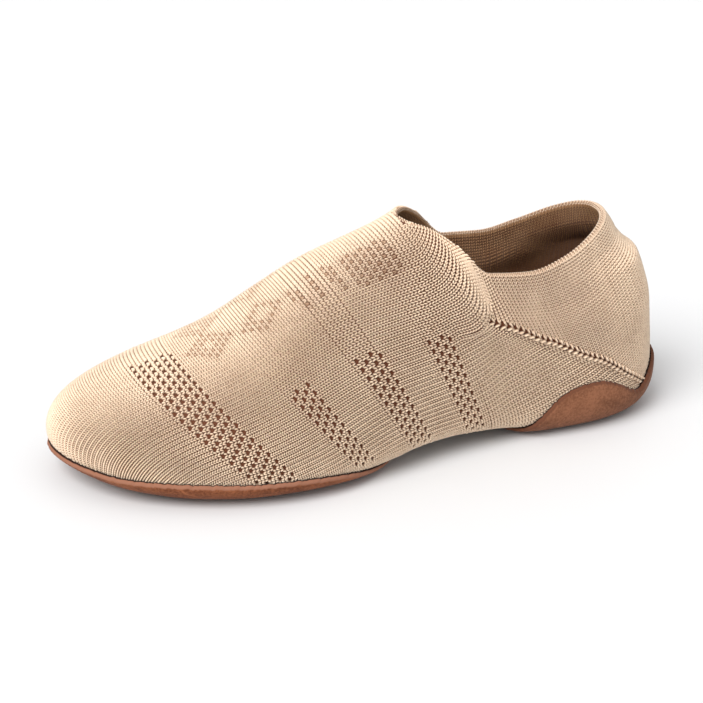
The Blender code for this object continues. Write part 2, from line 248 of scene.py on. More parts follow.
@dataclass
class LastForm:
    """The last-shaped outer surface of the knit, the same function as the solids have.

    X runs from heel to toe from 0, Y to the outer side, Z up from the underside of the knit.
    A pair such as neck_fade gives where a soft step starts and how far it goes.
    """

    length: float = 0.245
    ball_width: float = 0.090
    height: float = 0.0845
    heel_centre: float = 0.14
    toe_centre: float = 0.84
    spine_turn: float = -0.03
    mouth_back: float = 0.092
    mouth_front: float = 0.435
    mouth_half: float = 0.0255
    mouth_square: float = 2.2
    neck: float = 0.0055
    flat_share: float = 0.62
    low_square: float = 2.6
    high_square: float = 2.08
    neck_fade: tuple[float, float] = (0.22, 0.14)
    neck_rise: tuple[float, float] = (0.72, 0.15)
    front_fade: tuple[float, float] = (0.31, 0.06)
    inner_fade: float = 0.3
    lift_height: float = 0.5
    bend: float = 1.5

    def __post_init__(self) -> None:
        """Works out the curves and columns that every section reads."""
        self.heel_x = self.heel_centre * self.length
        self.toe_x = self.toe_centre * self.length
        self.side_columns = dict(zip(SIDE_COLUMNS, np.array(SIDE).T))
        self.edge_along, self.edge_high = np.array(EDGE).T
        self.plan = self.two_sided(PLAN)
        self.mouth = self.mouth_curve()

    def column(self, name: str, share: np.ndarray) -> np.ndarray:
        """Value of a named column of the side table at shares of the length."""
        return read_table(share, self.side_columns["station"], self.side_columns[name])

    def two_sided(self, rows: tuple[tuple[float, ...], ...]) -> np.ndarray:
        """Closed curve in plan through both ends of each row.

        Args:
            rows: share of the length, outer reach and inner reach, as shares of the ball width.

        Returns:
            The curve's points.
        """
        table = np.asarray(rows, float)
        outer = np.c_[table[:, 0] * self.length, table[:, 1] * self.ball_width]
        inner = np.c_[table[:, 0] * self.length, -table[:, 2] * self.ball_width]
        return closed_curve(np.vstack([outer, inner[1:-1][::-1]]), 12)

    def heel_curve(self) -> np.ndarray:
        """Closed flat curve of the heel patch, from turns and reaches about the heel centre."""
        rows = np.array(HEEL_PATCH)
        turns = np.radians(np.r_[rows[:, 0], -rows[1:-1, 0][::-1]])
        far = np.r_[rows[:, 1], rows[1:-1, 1][::-1]] * self.ball_width
        centre = np.array([self.heel_x, 0.0])
        return closed_curve(centre + np.c_[-np.cos(turns), np.sin(turns)] * far[:, None], 12)

    def spine(self, x: np.ndarray) -> np.ndarray:
        """Y of the middle of the sole at x, a straight line that turns inwards to the toe."""
        return self.spine_turn * self.ball_width * (x - self.heel_x) / (self.toe_x - self.heel_x)

    def mouth_curve(self) -> np.ndarray:
        """The mouth in plan: |x/a|^n + |y/b|^n = 1 about the spine."""
        turn = np.linspace(0, 2 * np.pi, 400, endpoint=False)
        power = 2 / self.mouth_square
        middle = (self.mouth_front + self.mouth_back) / 2 * self.length
        half = (self.mouth_front - self.mouth_back) / 2 * self.length
        x = middle + half * np.sign(np.cos(turn)) * np.abs(np.cos(turn)) ** power
        y = self.mouth_half * np.sign(np.sin(turn)) * np.abs(np.sin(turn)) ** power
        return np.c_[x, y + self.spine(x)]

    def section(self, start: np.ndarray, way: np.ndarray, level: np.ndarray) -> np.ndarray:
        """Points of the outer surface on the upright section of each line in plan.

        The corner follows ((o-f)/(w-f))^m + (1-z/l)^m = 1 and the side (o/w)^n + s^n = 1, with
        o the distance out, w the widest reach, f the flat reach, l the widest level and s the
        share of the climb from there to the mouth's edge or the ridge.

        Args:
            start: start of each line on the spine.
            way: unit direction of each line.
            level: 0 to 1 over the flat sole, 1 to 2 round the corner, 2 to 3 up the side.

        Returns:
            Points, one row of levels for each line.
        """
        length, height = self.length, self.height
        wide = reach(self.plan, start, way)[:, None]
        mouth = reach(self.mouth, start, way)[:, None]
        rim_x = start[:, :1] + way[:, :1] * mouth
        wide_x = start[:, :1] + way[:, :1] * wide
        low = self.column("widest", wide_x / length) * height
        flat = self.flat_share * wide
        turn = np.clip(level - 1, 0, 1) * np.pi / 2
        out = flat + (wide - flat) * np.sin(turn) ** (2 / self.low_square)
        out = np.where(level < 1, level * flat, out)
        rise = low * (1 - np.cos(turn) ** (2 / self.low_square))
        behind = soft_step((self.neck_fade[0] - rim_x / length) / self.neck_fade[1])
        neck = np.where(mouth > 0, self.neck * behind, 0)
        open_share = np.clip((mouth + neck) / wide, 0, 0.999)
        along = (rim_x / length - self.mouth_back) / (self.mouth_front - self.mouth_back)
        edge = read_table(along, self.edge_along, self.edge_high) * height
        meet = self.column("ridge", start[:, :1] / length) * height
        cut = np.clip((edge - low) / (meet - low), 0, 1) ** self.high_square
        near_front = soft_step((start[:, :1] / length - self.front_fade[0]) / self.front_fade[1])
        cut_share = (1 - cut) ** (1 / self.high_square)
        open_share = np.where(mouth > 0, open_share + (cut_share - open_share) * near_front, 0)
        full = np.arccos(open_share ** (self.high_square / 2))
        climb = np.clip(level - 2, 0, 1) * full
        share = np.sin(climb) ** (2 / self.high_square) / np.sin(full) ** (2 / self.high_square)
        side = wide * np.maximum(np.cos(climb), 0) ** (2 / self.high_square)
        side = side - neck * soft_step((share - self.neck_rise[0]) / self.neck_rise[1])
        out = np.where(level <= 2, out, side)
        x = start[:, :1] + way[:, :1] * out
        y = start[:, 1:] + way[:, 1:] * out
        ridge = self.column("ridge", x / length) * height
        top = np.where(mouth > 0, edge, ridge)
        z = np.where(level <= 2, rise, low + (top - low) * share)
        inner_share = soft_step((self.spine(x) - y) / (self.inner_fade * self.ball_width))
        lift = self.column("lift", x / length) + self.column("inner_lift", x / length) * inner_share
        lifted = z + lift * height * np.clip(1 - z / (self.lift_height * height), 0, 1) ** self.bend
        shift = self.column("ridge_shift", x / length) * self.ball_width
        y = y - shift * np.clip((z - low) / (top - low), 0, 1) ** self.bend
        return np.stack([x, y, lifted], -1)


@dataclass(frozen=True)
class Crease:
    """A soft trough or ridge of the knit, along a line in the chart of a side.

    The surface moves along its normal by rise exp(-(d/width)^2), d the distance to the line.
    """

    line: tuple[tuple[float, float], ...]
    rise: float
    width: float


# Folds that follow the photograph: collar trough, heel bulge, pucker at the gore, waist, throat
CREASES = (
    Crease(((-0.012, 0.84), (0.010, 0.845), (0.035, 0.83), (0.058, 0.845)), -0.0010, 0.0045),
    Crease(((0.000, 0.66), (0.022, 0.64), (0.046, 0.74)), 0.0009, 0.0090),
    Crease(((0.0797, 0.806), (0.0790, 0.800)), -0.0011, 0.0028),
    Crease(((0.0797, 0.806), (0.0840, 0.890)), -0.0004, 0.0026),
    Crease(((0.0797, 0.806), (0.0880, 0.760)), -0.0004, 0.0026),
    Crease(((0.0790, 0.740), (0.0740, 0.560), (0.0720, 0.400)), -0.0009, 0.0055),
    Crease(((0.0960, 0.800), (0.0900, 0.620), (0.0850, 0.480)), 0.0002, 0.0070),
    Crease(((0.0760, 0.780), (0.0600, 0.690), (0.0440, 0.560), (0.0260, 0.430)), -0.0007, 0.0022),
    Crease(((0.1300, 0.620), (0.1200, 0.450), (0.1120, 0.340)), -0.0004, 0.0070),
    Crease(((0.1750, 0.900), (0.1600, 0.700), (0.1500, 0.560)), -0.0003, 0.0080),
)


@dataclass
class SideChart:
    """One side of the surface, read by station and by share of the way up each section.

    A station is the x of a straight section. Past the two centres it goes on as an arc, of
    heel_radius or toe_radius times the turn of the section line.
    """

    form: LastForm
    side: Side
    stations: int = 620
    shares: int = 301
    heel_radius: float = 0.032
    toe_radius: float = 0.040
    tip_turn: float = 0.14
    flat_levels: int = 40
    corner_levels: int = 160
    side_levels: int = 260
    crease_points: int = 24

    def __post_init__(self) -> None:
        """Samples the sections and spaces their points evenly by arc length."""
        form = self.form
        quarter = np.pi / 2
        self.first = form.heel_x - self.heel_radius * quarter
        self.last = form.toe_x + self.toe_radius * (quarter + self.side * self.tip_turn)
        self.x = np.linspace(self.first, self.last, self.stations)
        start, way = self.lines(self.x)
        flat = np.linspace(0, 1, self.flat_levels)[:-1]
        corner = np.linspace(1, 2, self.corner_levels)[:-1]
        level = np.r_[flat, corner, np.linspace(2, 3, self.side_levels)]
        rows = form.section(start, way, level[None])
        steps = np.linalg.norm(np.diff(rows, axis=1), axis=2)
        run = np.c_[np.zeros(len(rows)), np.cumsum(steps, 1)]
        self.total = run[:, -1]
        share = np.linspace(0, 1, self.shares)
        self.points = np.zeros((self.stations, self.shares, 3))
        for i in range(self.stations):
            for axis in range(3):
                self.points[i, :, axis] = np.interp(share * self.total[i], run[i], rows[i, :, axis])
        self.find_normals()
        self.press_creases()
        self.find_normals()

    def press_creases(self) -> None:
        """Moves the surface along its normals by the sum of all creases' rises."""
        moved = np.zeros(self.points.shape[:2])
        for crease in CREASES:
            rows = np.array(crease.line)
            fine = np.linspace(0, len(rows) - 1, self.crease_points)
            x, p = (np.interp(fine, np.arange(len(rows)), rows[:, k]) for k in range(2))
            gap = np.full(moved.shape, np.inf)
            for point in self.at(x, p)[0]:
                gap = np.minimum(gap, ((self.points - point) ** 2).sum(-1))
            moved += crease.rise * np.exp(-gap / crease.width**2)
        self.points = self.points + self.normals * moved[..., None]

    def find_normals(self) -> None:
        """Outward normals, square to the steps along and up the chart."""
        along = np.gradient(self.points, axis=0)
        up = np.gradient(self.points, axis=1)
        self.normals = unit(np.cross(up, along) * self.side)
        self.normals[:, -1] = self.normals[:, -2]

    def lines(self, x: np.ndarray) -> tuple[np.ndarray, np.ndarray]:
        """The section line of each station, turned about the heel's or the toe's centre past it.

        Args:
            x: stations.

        Returns:
            Start on the spine and unit way of each line.
        """
        form = self.form
        station = np.clip(x, form.heel_x, form.toe_x)
        behind = np.clip((form.heel_x - x) / self.heel_radius, 0, np.pi / 2)
        most = np.pi / 2 + self.side * self.tip_turn
        ahead = np.clip((x - form.toe_x) / self.toe_radius, 0, most)
        way = np.c_[np.sin(ahead) - np.sin(behind), np.cos(ahead) * np.cos(behind) * self.side]
        return np.c_[station, form.spine(station)], way

    def read(self, values: np.ndarray, x: np.ndarray, share: np.ndarray) -> np.ndarray:
        """Values at (x, share), the weighted mean of the four table entries round each place.

        Args:
            values: a table of stations by shares.
            x: stations to read at.
            share: shares to read at.

        Returns:
            The values, with the shape of x.
        """
        i = np.clip((x - self.first) / (self.last - self.first), 0, 1) * (self.stations - 1)
        j = np.clip(share, 0, 1) * (self.shares - 1)
        i0 = np.minimum(i.astype(int), self.stations - 2)
        j0 = np.minimum(j.astype(int), self.shares - 2)
        u = (i - i0)[..., None]
        v = (j - j0)[..., None]
        low = values[i0, j0] * (1 - u) + values[i0 + 1, j0] * u
        high = values[i0, j0 + 1] * (1 - u) + values[i0 + 1, j0 + 1] * u
        return low * (1 - v) + high * v

    def at(self, x: np.ndarray, share: np.ndarray) -> tuple[np.ndarray, np.ndarray]:
        """Points and outward normals at stations x and shares share."""
        return self.read(self.points, x, share), unit(self.read(self.normals, x, share))

    def arc(self, x: np.ndarray) -> np.ndarray:
        """Arc length of the section at x, from the middle of the sole up to its end."""
        return np.interp(x, self.x, self.total)


@dataclass
class Skin:
    """The whole outer surface: both sides, patterns laid on it, and its place in the frame."""

    form: LastForm = field(default_factory=LastForm)

    def __post_init__(self) -> None:
        """Makes both charts and finds the step from the surface's own origin to the frame."""
        self.outer = SideChart(self.form, Side.OUTER)
        self.inner = SideChart(self.form, Side.INNER)
        every = np.vstack([self.outer.points.reshape(-1, 3), self.inner.points.reshape(-1, 3)])
        low, high = (np.array(corner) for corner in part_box("upper"))
        middle = (low + high) / 2
        own = (every.max(0) + every.min(0)) / 2
        ahead = high[0] - every[:, 0].max()
        self.step = np.array([ahead, middle[1] - own[1], low[2] - every[:, 2].min()])

    def chart(self, side: Side) -> SideChart:
        """The chart of that side."""
        return self.outer if side is Side.OUTER else self.inner

    def lay(self, flat: np.ndarray) -> tuple[np.ndarray, np.ndarray]:
        """Points and normals under a pattern laid flat.

        A pattern point lies across from the spine, or out from the centre of the heel or toe,
        and goes to the same distance along the section there.

        Args:
            flat: pattern points, one row each.

        Returns:
            Points and outward normals.
        """
        form = self.form
        station = np.clip(flat[:, 0], form.heel_x, form.toe_x)
        over = flat[:, 0] - station
        across = flat[:, 1] - form.spine(station)
        far = np.hypot(over, across)
        outside = across >= -np.maximum(over, 0) * np.tan(self.outer.tip_turn)
        sign = np.where(outside, 1.0, -1.0)
        turn = np.arctan2(np.abs(over), across * sign)
        turn = np.where(far < 1e-7, 0, turn)
        radius = np.where(over < 0, self.outer.heel_radius, self.outer.toe_radius)
        x = station + np.sign(over) * radius * turn
        points = np.zeros((len(flat), 3))
        normals = np.zeros((len(flat), 3))
        for side in Side:
            chart = self.chart(side)
            mine = sign == side.value
            points[mine], normals[mine] = chart.at(x[mine], far[mine] / chart.arc(x[mine]))
        return points, normals


def grid_quads(rows: int, columns: int, wrap: bool) -> np.ndarray:
    """Quads over a grid of points: (i, j), (i+1, j), (i+1, j+1), (i, j+1).

    Args:
        rows: rows of the grid.
        columns: columns of the grid.
        wrap: whether the last row joins the first.

    Returns:
        Four indices for each quad.
    """
    count = rows if wrap else rows - 1
    i, j = np.meshgrid(np.arange(count), np.arange(columns - 1), indexing="ij")
    k = (i + 1) % rows
    near = i * columns + j
    far = k * columns + j
    return np.stack([near, far, far + 1, near + 1], -1).reshape(-1, 4)


def weld(points: np.ndarray, quads: np.ndarray) -> tuple[np.ndarray, np.ndarray, np.ndarray]:
    """Joins points that coincide and turns quads into sound triangles.

    Args:
        points: one row each.
        quads: four indices each.

    Returns:
        The points left, triangles between them, and for each point left one old index.
    """
    keys = np.round(points * 2e5 + 0.377).astype(np.int64)
    _, first, back = np.unique(keys, axis=0, return_index=True, return_inverse=True)
    tris = back.reshape(-1)[np.vstack([quads[:, [0, 1, 2]], quads[:, [0, 2, 3]]])]
    good = (tris[:, 0] != tris[:, 1]) & (tris[:, 1] != tris[:, 2]) & (tris[:, 2] != tris[:, 0])
    return points[first], tris[good], first


def face_floor(
    points: np.ndarray, tris: np.ndarray, below: float
) -> tuple[np.ndarray, np.ndarray]:
    """Turns a sheet's triangles so that its low points face the floor.

    Args:
        points: one row each.
        tris: three indices each.
        below: height under which points are asked which way they face.

    Returns:
        The triangles and the normal of each point.
    """
    normals = point_normals(points, tris)
    if normals[points[:, 2] < below, 2].sum() > 0:
        return tris[:, ::-1], -normals
    return tris, normals


def point_normals(points: np.ndarray, tris: np.ndarray) -> np.ndarray:
    """Outward normal of each point, the sum of its triangles' crossed edges at length 1.

    Args:
        points: one row each.
        tris: three indices each.

    Returns:
        The normals, one row each.
    """
    a, b, c = (points[tris[:, k]] for k in range(3))
    face = np.cross(b - a, c - a)
    total = np.zeros_like(points)
    for k in range(3):
        np.add.at(total, tris[:, k], face)
    return unit(total)


def free_edges(tris: np.ndarray) -> np.ndarray:
    """Edges that only one triangle has.

    Args:
        tris: three indices each.

    Returns:
        Two indices for each edge, in its triangle's order.
    """
    edges = np.vstack([tris[:, [0, 1]], tris[:, [1, 2]], tris[:, [2, 0]]])
    key = np.sort(edges, axis=1)
    code = key[:, 0].astype(np.int64) * (int(tris.max()) + 1) + key[:, 1]
    _, back, count = np.unique(code, return_inverse=True, return_counts=True)
    return edges[count[back.reshape(-1)] == 1]


def thick_sheet(
    points: np.ndarray,
    tris: np.ndarray,
    normals: np.ndarray,
    near: np.ndarray,
    far: np.ndarray,
    rim_steps: int,
) -> tuple[np.ndarray, np.ndarray, np.ndarray]:
    """Closed solid between two offsets of an open sheet, with a round edge.

    The edge is an arc: middle + half cos(t) + out |half| sin(t), t from 0 to pi, with half from
    the middle to the far side and out along the surface, square to the edge.

    Args:
        points: the sheet's points.
        tris: its triangles, facing outwards.
        normals: outward normal of each point.
        near: inner offset of each point along its normal.
        far: outer offset.
        rim_steps: faces across the edge.

    Returns:
        Points, triangles, and for each point its depth: 1 on the far side, 0 on the near side.
    """
    count = len(points)
    top = points + normals * far[:, None]
    bottom = points + normals * near[:, None]
    edges = free_edges(tris)
    ring = np.unique(edges)
    from_here, to_there = edges.T
    side = np.cross(points[to_there] - points[from_here], normals[from_here] + normals[to_there])
    outward = np.zeros_like(points)
    for k in range(2):
        np.add.at(outward, edges[:, k], unit(side))
    middle = (top[ring] + bottom[ring]) / 2
    half = (top[ring] - bottom[ring]) / 2
    bulge = unit(outward[ring]) * np.linalg.norm(half, axis=1, keepdims=True)
    turns = np.pi * np.arange(1, rim_steps) / rim_steps
    inner = [middle + half * np.cos(t) + bulge * np.sin(t) for t in turns]
    place = np.full(count, -1)
    place[ring] = np.arange(len(ring))
    chain = np.zeros((rim_steps + 1, len(ring)), int)
    chain[0] = ring
    chain[-1] = ring + count
    for k in range(1, rim_steps):
        chain[k] = 2 * count + (k - 1) * len(ring) + np.arange(len(ring))
    one = place[from_here]
    two = place[to_there]
    strips = [
        np.vstack([np.c_[chain[k][two], chain[k][one], chain[k + 1][one]],
                   np.c_[chain[k][two], chain[k + 1][one], chain[k + 1][two]]])
        for k in range(rim_steps)
    ]
    every = np.vstack([top, bottom, *inner])
    faces = np.vstack([tris, tris[:, ::-1] + count, *strips])
    arcs = [np.full(len(ring), (1 + np.cos(t)) / 2) for t in turns]
    depth = np.concatenate([np.ones(count), np.zeros(count), *arcs])
    return every, faces, depth


def mesh_piece(
    name: str,
    points: np.ndarray,
    tris: np.ndarray,
    material: bpy.types.Material,
    values: dict[str, np.ndarray] | None = None,
) -> bpy.types.Object:
    """One smooth shaded piece at the origin, with its place in its mesh.

    Args:
        name: the piece's name.
        points: one row each, in the frame.
        tris: three indices each.
        material: its only material.
        values: named number for each point.

    Returns:
        The linked object.
    """
    mesh = bpy.data.meshes.new(name)
    mesh.vertices.add(len(points))
    mesh.vertices.foreach_set("co", np.ascontiguousarray(points, np.float32).ravel())
    mesh.loops.add(tris.size)
    mesh.loops.foreach_set("vertex_index", np.ascontiguousarray(tris, np.int32).ravel())
    mesh.polygons.add(len(tris))
    mesh.polygons.foreach_set("loop_start", np.arange(0, tris.size, 3, dtype=np.int32))
    mesh.update(calc_edges=True)
    mesh.polygons.foreach_set("use_smooth", np.ones(len(tris), bool))
    for key, numbers in (values or {}).items():
        layer = mesh.attributes.new(key, "FLOAT", "POINT")
        layer.data.foreach_set("value", np.ascontiguousarray(numbers, np.float32))
    mesh.materials.append(material)
    mesh.validate()
    piece = bpy.data.objects.new(name, mesh)
    bpy.context.scene.collection.objects.link(piece)
    return piece


def settle(piece: bpy.types.Object, slot: Slot, *nodes: str) -> bpy.types.Object:
    """Rides a piece on the root body, and hides the CAD nodes that it replaces.

    Args:
        piece: the finished piece.
        slot: not used.
        nodes: CAD nodes that it replaces.

    Returns:
        The piece.
    """
    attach(piece, "root")
    if nodes:
        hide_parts(*nodes)
    log.info("%s: %d triangles", piece.name, len(piece.data.polygons))
    return piece


def add_node(tree: bpy.types.NodeTree, kind: str, **settings: object) -> bpy.types.Node:
    """A new node in a tree.

    Args:
        tree: the tree that gets it.
        kind: Blender's name of the node.
        settings: its settings by name.

    Returns:
        The node.
    """
    node = tree.nodes.new(kind)
    for key, value in settings.items():
        setattr(node, key, value)
    return node


def fill(node: bpy.types.Node, **values: object) -> bpy.types.Node:
    """Sets a node's inputs.

    Args:
        node: the node.
        values: its inputs by name, with _ for a space.

    Returns:
        The node.
    """
    for key, value in values.items():
        node.inputs[key.replace("_", " ")].default_value = value
    return node


@dataclass(frozen=True)
class SuedeFinish:
    """Brushed suede: its colours, how mottled it is, and the nap."""

    name: str
    dark: tuple[float, float, float]
    light: tuple[float, float, float]
    cut_edge: tuple[float, float, float]
    # Dark colour of the edge next to the knit: painted shadow of the crevice there
    crevice_shadow: tuple[float, float, float]
    scuffs: float
    mottle_scale: float = 55.0
    nap_scale: float = 1100.0
    nap_depth: float = 0.0004
    crevice_shadow_depth: float = 0.42
    edge_depth: float = 0.52
    face_depth: float = 0.93

    def material(self) -> bpy.types.Material:
        """The material: mottled nap outside, a paler cut edge, and a dark line by the knit that is
        painted shadow of the crevice where the suede meets the knit.
        """
        paint = bpy.data.materials.new(self.name)
        paint.use_nodes = True
        tree = paint.node_tree
        shader = tree.nodes["Principled BSDF"]
        fill(shader, Roughness=0.95, Sheen_Weight=0.05, Sheen_Roughness=0.5)
        shader.inputs["Specular IOR Level"].default_value = 0.15
        place = add_node(tree, "ShaderNodeTexCoord")
        suede = add_node(tree, "ShaderNodeGroup", node_tree=suede_group())
        fill(suede, Dark=(*self.dark, 1), Light=(*self.light, 1), Mottle_Scale=self.mottle_scale)
        fill(suede, Nap_Scale=self.nap_scale, Scuffs=self.scuffs)
        tree.links.new(place.outputs["Object"], suede.inputs["Vector"])
        depth = add_node(tree, "ShaderNodeAttribute", attribute_name="depth")
        # Painted shadow: the part of the cut edge next to the knit is dark, the rest is the paler
        # cut edge
        edge = add_node(tree, "ShaderNodeValToRGB")
        ramp = edge.color_ramp
        ramp.elements[0].position = self.crevice_shadow_depth
        ramp.elements[0].color = (*self.crevice_shadow, 1)
        ramp.elements[1].position = self.edge_depth
        ramp.elements[1].color = (*self.cut_edge, 1)
        tree.links.new(depth.outputs["Fac"], edge.inputs["Fac"])
        out = add_node(tree, "ShaderNodeMapRange")
        fill(out, From_Min=self.face_depth, From_Max=1.0)
        tree.links.new(depth.outputs["Fac"], out.inputs["Value"])
        mix = add_node(tree, "ShaderNodeMix", data_type="RGBA")
        tree.links.new(out.outputs["Result"], mix.inputs["Factor"])
        tree.links.new(edge.outputs["Color"], mix.inputs[6])
        tree.links.new(suede.outputs["Color"], mix.inputs[7])
        tree.links.new(mix.outputs[2], shader.inputs["Base Color"])
        bump = add_node(tree, "ShaderNodeBump")
        fill(bump, Strength=0.5, Distance=self.nap_depth)
        tree.links.new(suede.outputs["Height"], bump.inputs["Height"])
        tree.links.new(bump.outputs["Normal"], shader.inputs["Normal"])
        return paint


def new_group(name: str, inputs: dict[str, str], outputs: dict[str, str]) -> bpy.types.NodeTree:
    """An empty shader node group with its sockets.

    Args:
        name: the group's name.
        inputs: kind of each input by name, such as Float, Color or Vector.
        outputs: kind of each output by name.

    Returns:
        The group.
    """
    group = bpy.data.node_groups.new(name, "ShaderNodeTree")
    for way, sockets in (("INPUT", inputs), ("OUTPUT", outputs)):
        for socket, kind in sockets.items():
            group.interface.new_socket(socket, in_out=way, socket_type=f"NodeSocket{kind}")
    return group


def suede_group() -> bpy.types.NodeTree:
    """The shared suede effect, built once.

    The colour goes from Dark to Light by soft clouds plus the nap's fine noise. Where a noise
    drawn out along the shoe is high, a pale streak is screened over it by Scuffs.

    Returns:
        The group, with the outputs Color and Height.
    """
    kept = bpy.data.node_groups.get("suede_nap")
    if kept:
        return kept
    inputs = {"Vector": "Vector", "Dark": "Color", "Light": "Color"}
    inputs |= {"Mottle Scale": "Float", "Nap Scale": "Float", "Scuffs": "Float"}
    group = new_group("suede_nap", inputs, {"Color": "Color", "Height": "Float"})
    given = add_node(group, "NodeGroupInput")
    result = add_node(group, "NodeGroupOutput")
    link = group.links.new
    mottle = fill(add_node(group, "ShaderNodeTexNoise"), Detail=6.0, Roughness=0.65, Distortion=0.3)
    nap = fill(add_node(group, "ShaderNodeTexNoise"), Detail=3.0, Roughness=0.6)
    link(given.outputs["Vector"], mottle.inputs["Vector"])
    link(given.outputs["Mottle Scale"], mottle.inputs["Scale"])
    link(given.outputs["Vector"], nap.inputs["Vector"])
    link(given.outputs["Nap Scale"], nap.inputs["Scale"])
    spread = fill(add_node(group, "ShaderNodeMapRange"), From_Min=0.33, From_Max=0.67)
    link(mottle.outputs["Fac"], spread.inputs["Value"])
    grain = fill(add_node(group, "ShaderNodeMapRange"), From_Min=0.3, From_Max=0.7)
    fill(grain, To_Min=-0.5, To_Max=0.5)
    link(nap.outputs["Fac"], grain.inputs["Value"])
    both = add_node(group, "ShaderNodeMath", operation="ADD", use_clamp=True)
    link(spread.outputs["Result"], both.inputs[0])
    link(grain.outputs["Result"], both.inputs[1])
    tone = add_node(group, "ShaderNodeMix", data_type="RGBA")
    link(both.outputs[0], tone.inputs["Factor"])
    link(given.outputs["Dark"], tone.inputs[6])
    link(given.outputs["Light"], tone.inputs[7])
    stretch = add_node(group, "ShaderNodeMapping")
    stretch.inputs["Rotation"].default_value = (0.0, 0.0, 0.5)
    stretch.inputs["Scale"].default_value = (40.0, 420.0, 60.0)
    link(given.outputs["Vector"], stretch.inputs["Vector"])
    streak = fill(add_node(group, "ShaderNodeTexNoise"), Scale=1.0, Detail=3.0)
    fill(streak, Roughness=0.6, Distortion=0.6)
    link(stretch.outputs["Vector"], streak.inputs["Vector"])
    lines = fill(add_node(group, "ShaderNodeMapRange"), From_Min=0.60, From_Max=0.72)
    link(streak.outputs["Fac"], lines.inputs["Value"])
    amount = add_node(group, "ShaderNodeMath", operation="MULTIPLY")
    link(lines.outputs["Result"], amount.inputs[0])
    link(given.outputs["Scuffs"], amount.inputs[1])
    worn = add_node(group, "ShaderNodeMix", data_type="RGBA", blend_type="SCREEN")
    link(amount.outputs[0], worn.inputs["Factor"])
    link(tone.outputs[2], worn.inputs[6])
    link(given.outputs["Light"], worn.inputs[7])
    link(worn.outputs[2], result.inputs["Color"])
    link(nap.outputs["Fac"], result.inputs["Height"])
    return group


def yarn_group() -> bpy.types.NodeTree:
    """The shared yarn effect, built once.

    The colour goes from Shade to Yarn by the stitch's own shade plus soft clouds, held between 0
    and 1, plus the weave where a cloth has one. The height is the fine noise of the fibres.

    Returns:
        The group, with the outputs Color and Height.
    """
    kept = bpy.data.node_groups.get("yarn_tone")
    if kept:
        return kept
    inputs = {"Vector": "Vector", "Own Shade": "Float", "Weave": "Float"}
    inputs |= {"Yarn": "Color", "Shade": "Color", "Cloud Scale": "Float", "Fibre Scale": "Float"}
    group = new_group("yarn_tone", inputs, {"Color": "Color", "Height": "Float"})
    given = add_node(group, "NodeGroupInput")
    result = add_node(group, "NodeGroupOutput")
    link = group.links.new
    cloud = fill(add_node(group, "ShaderNodeTexNoise"), Detail=3.0)
    link(given.outputs["Vector"], cloud.inputs["Vector"])
    link(given.outputs["Cloud Scale"], cloud.inputs["Scale"])
    soft = fill(add_node(group, "ShaderNodeMapRange"), From_Min=0.3, From_Max=0.7)
    fill(soft, To_Min=-0.08, To_Max=0.08)
    link(cloud.outputs["Fac"], soft.inputs["Value"])
    own = add_node(group, "ShaderNodeMath", operation="ADD", use_clamp=True)
    link(given.outputs["Own Shade"], own.inputs[0])
    link(soft.outputs["Result"], own.inputs[1])
    woven = add_node(group, "ShaderNodeMath", operation="ADD", use_clamp=True)
    link(own.outputs[0], woven.inputs[0])
    link(given.outputs["Weave"], woven.inputs[1])
    tone = add_node(group, "ShaderNodeMix", data_type="RGBA")
    link(woven.outputs[0], tone.inputs["Factor"])
    link(given.outputs["Shade"], tone.inputs[6])
    link(given.outputs["Yarn"], tone.inputs[7])
    link(tone.outputs[2], result.inputs["Color"])
    fibre = fill(add_node(group, "ShaderNodeTexNoise"), Detail=2.0)
    link(given.outputs["Vector"], fibre.inputs["Vector"])
    link(given.outputs["Fibre Scale"], fibre.inputs["Scale"])
    link(fibre.outputs["Fac"], result.inputs["Height"])
    return group


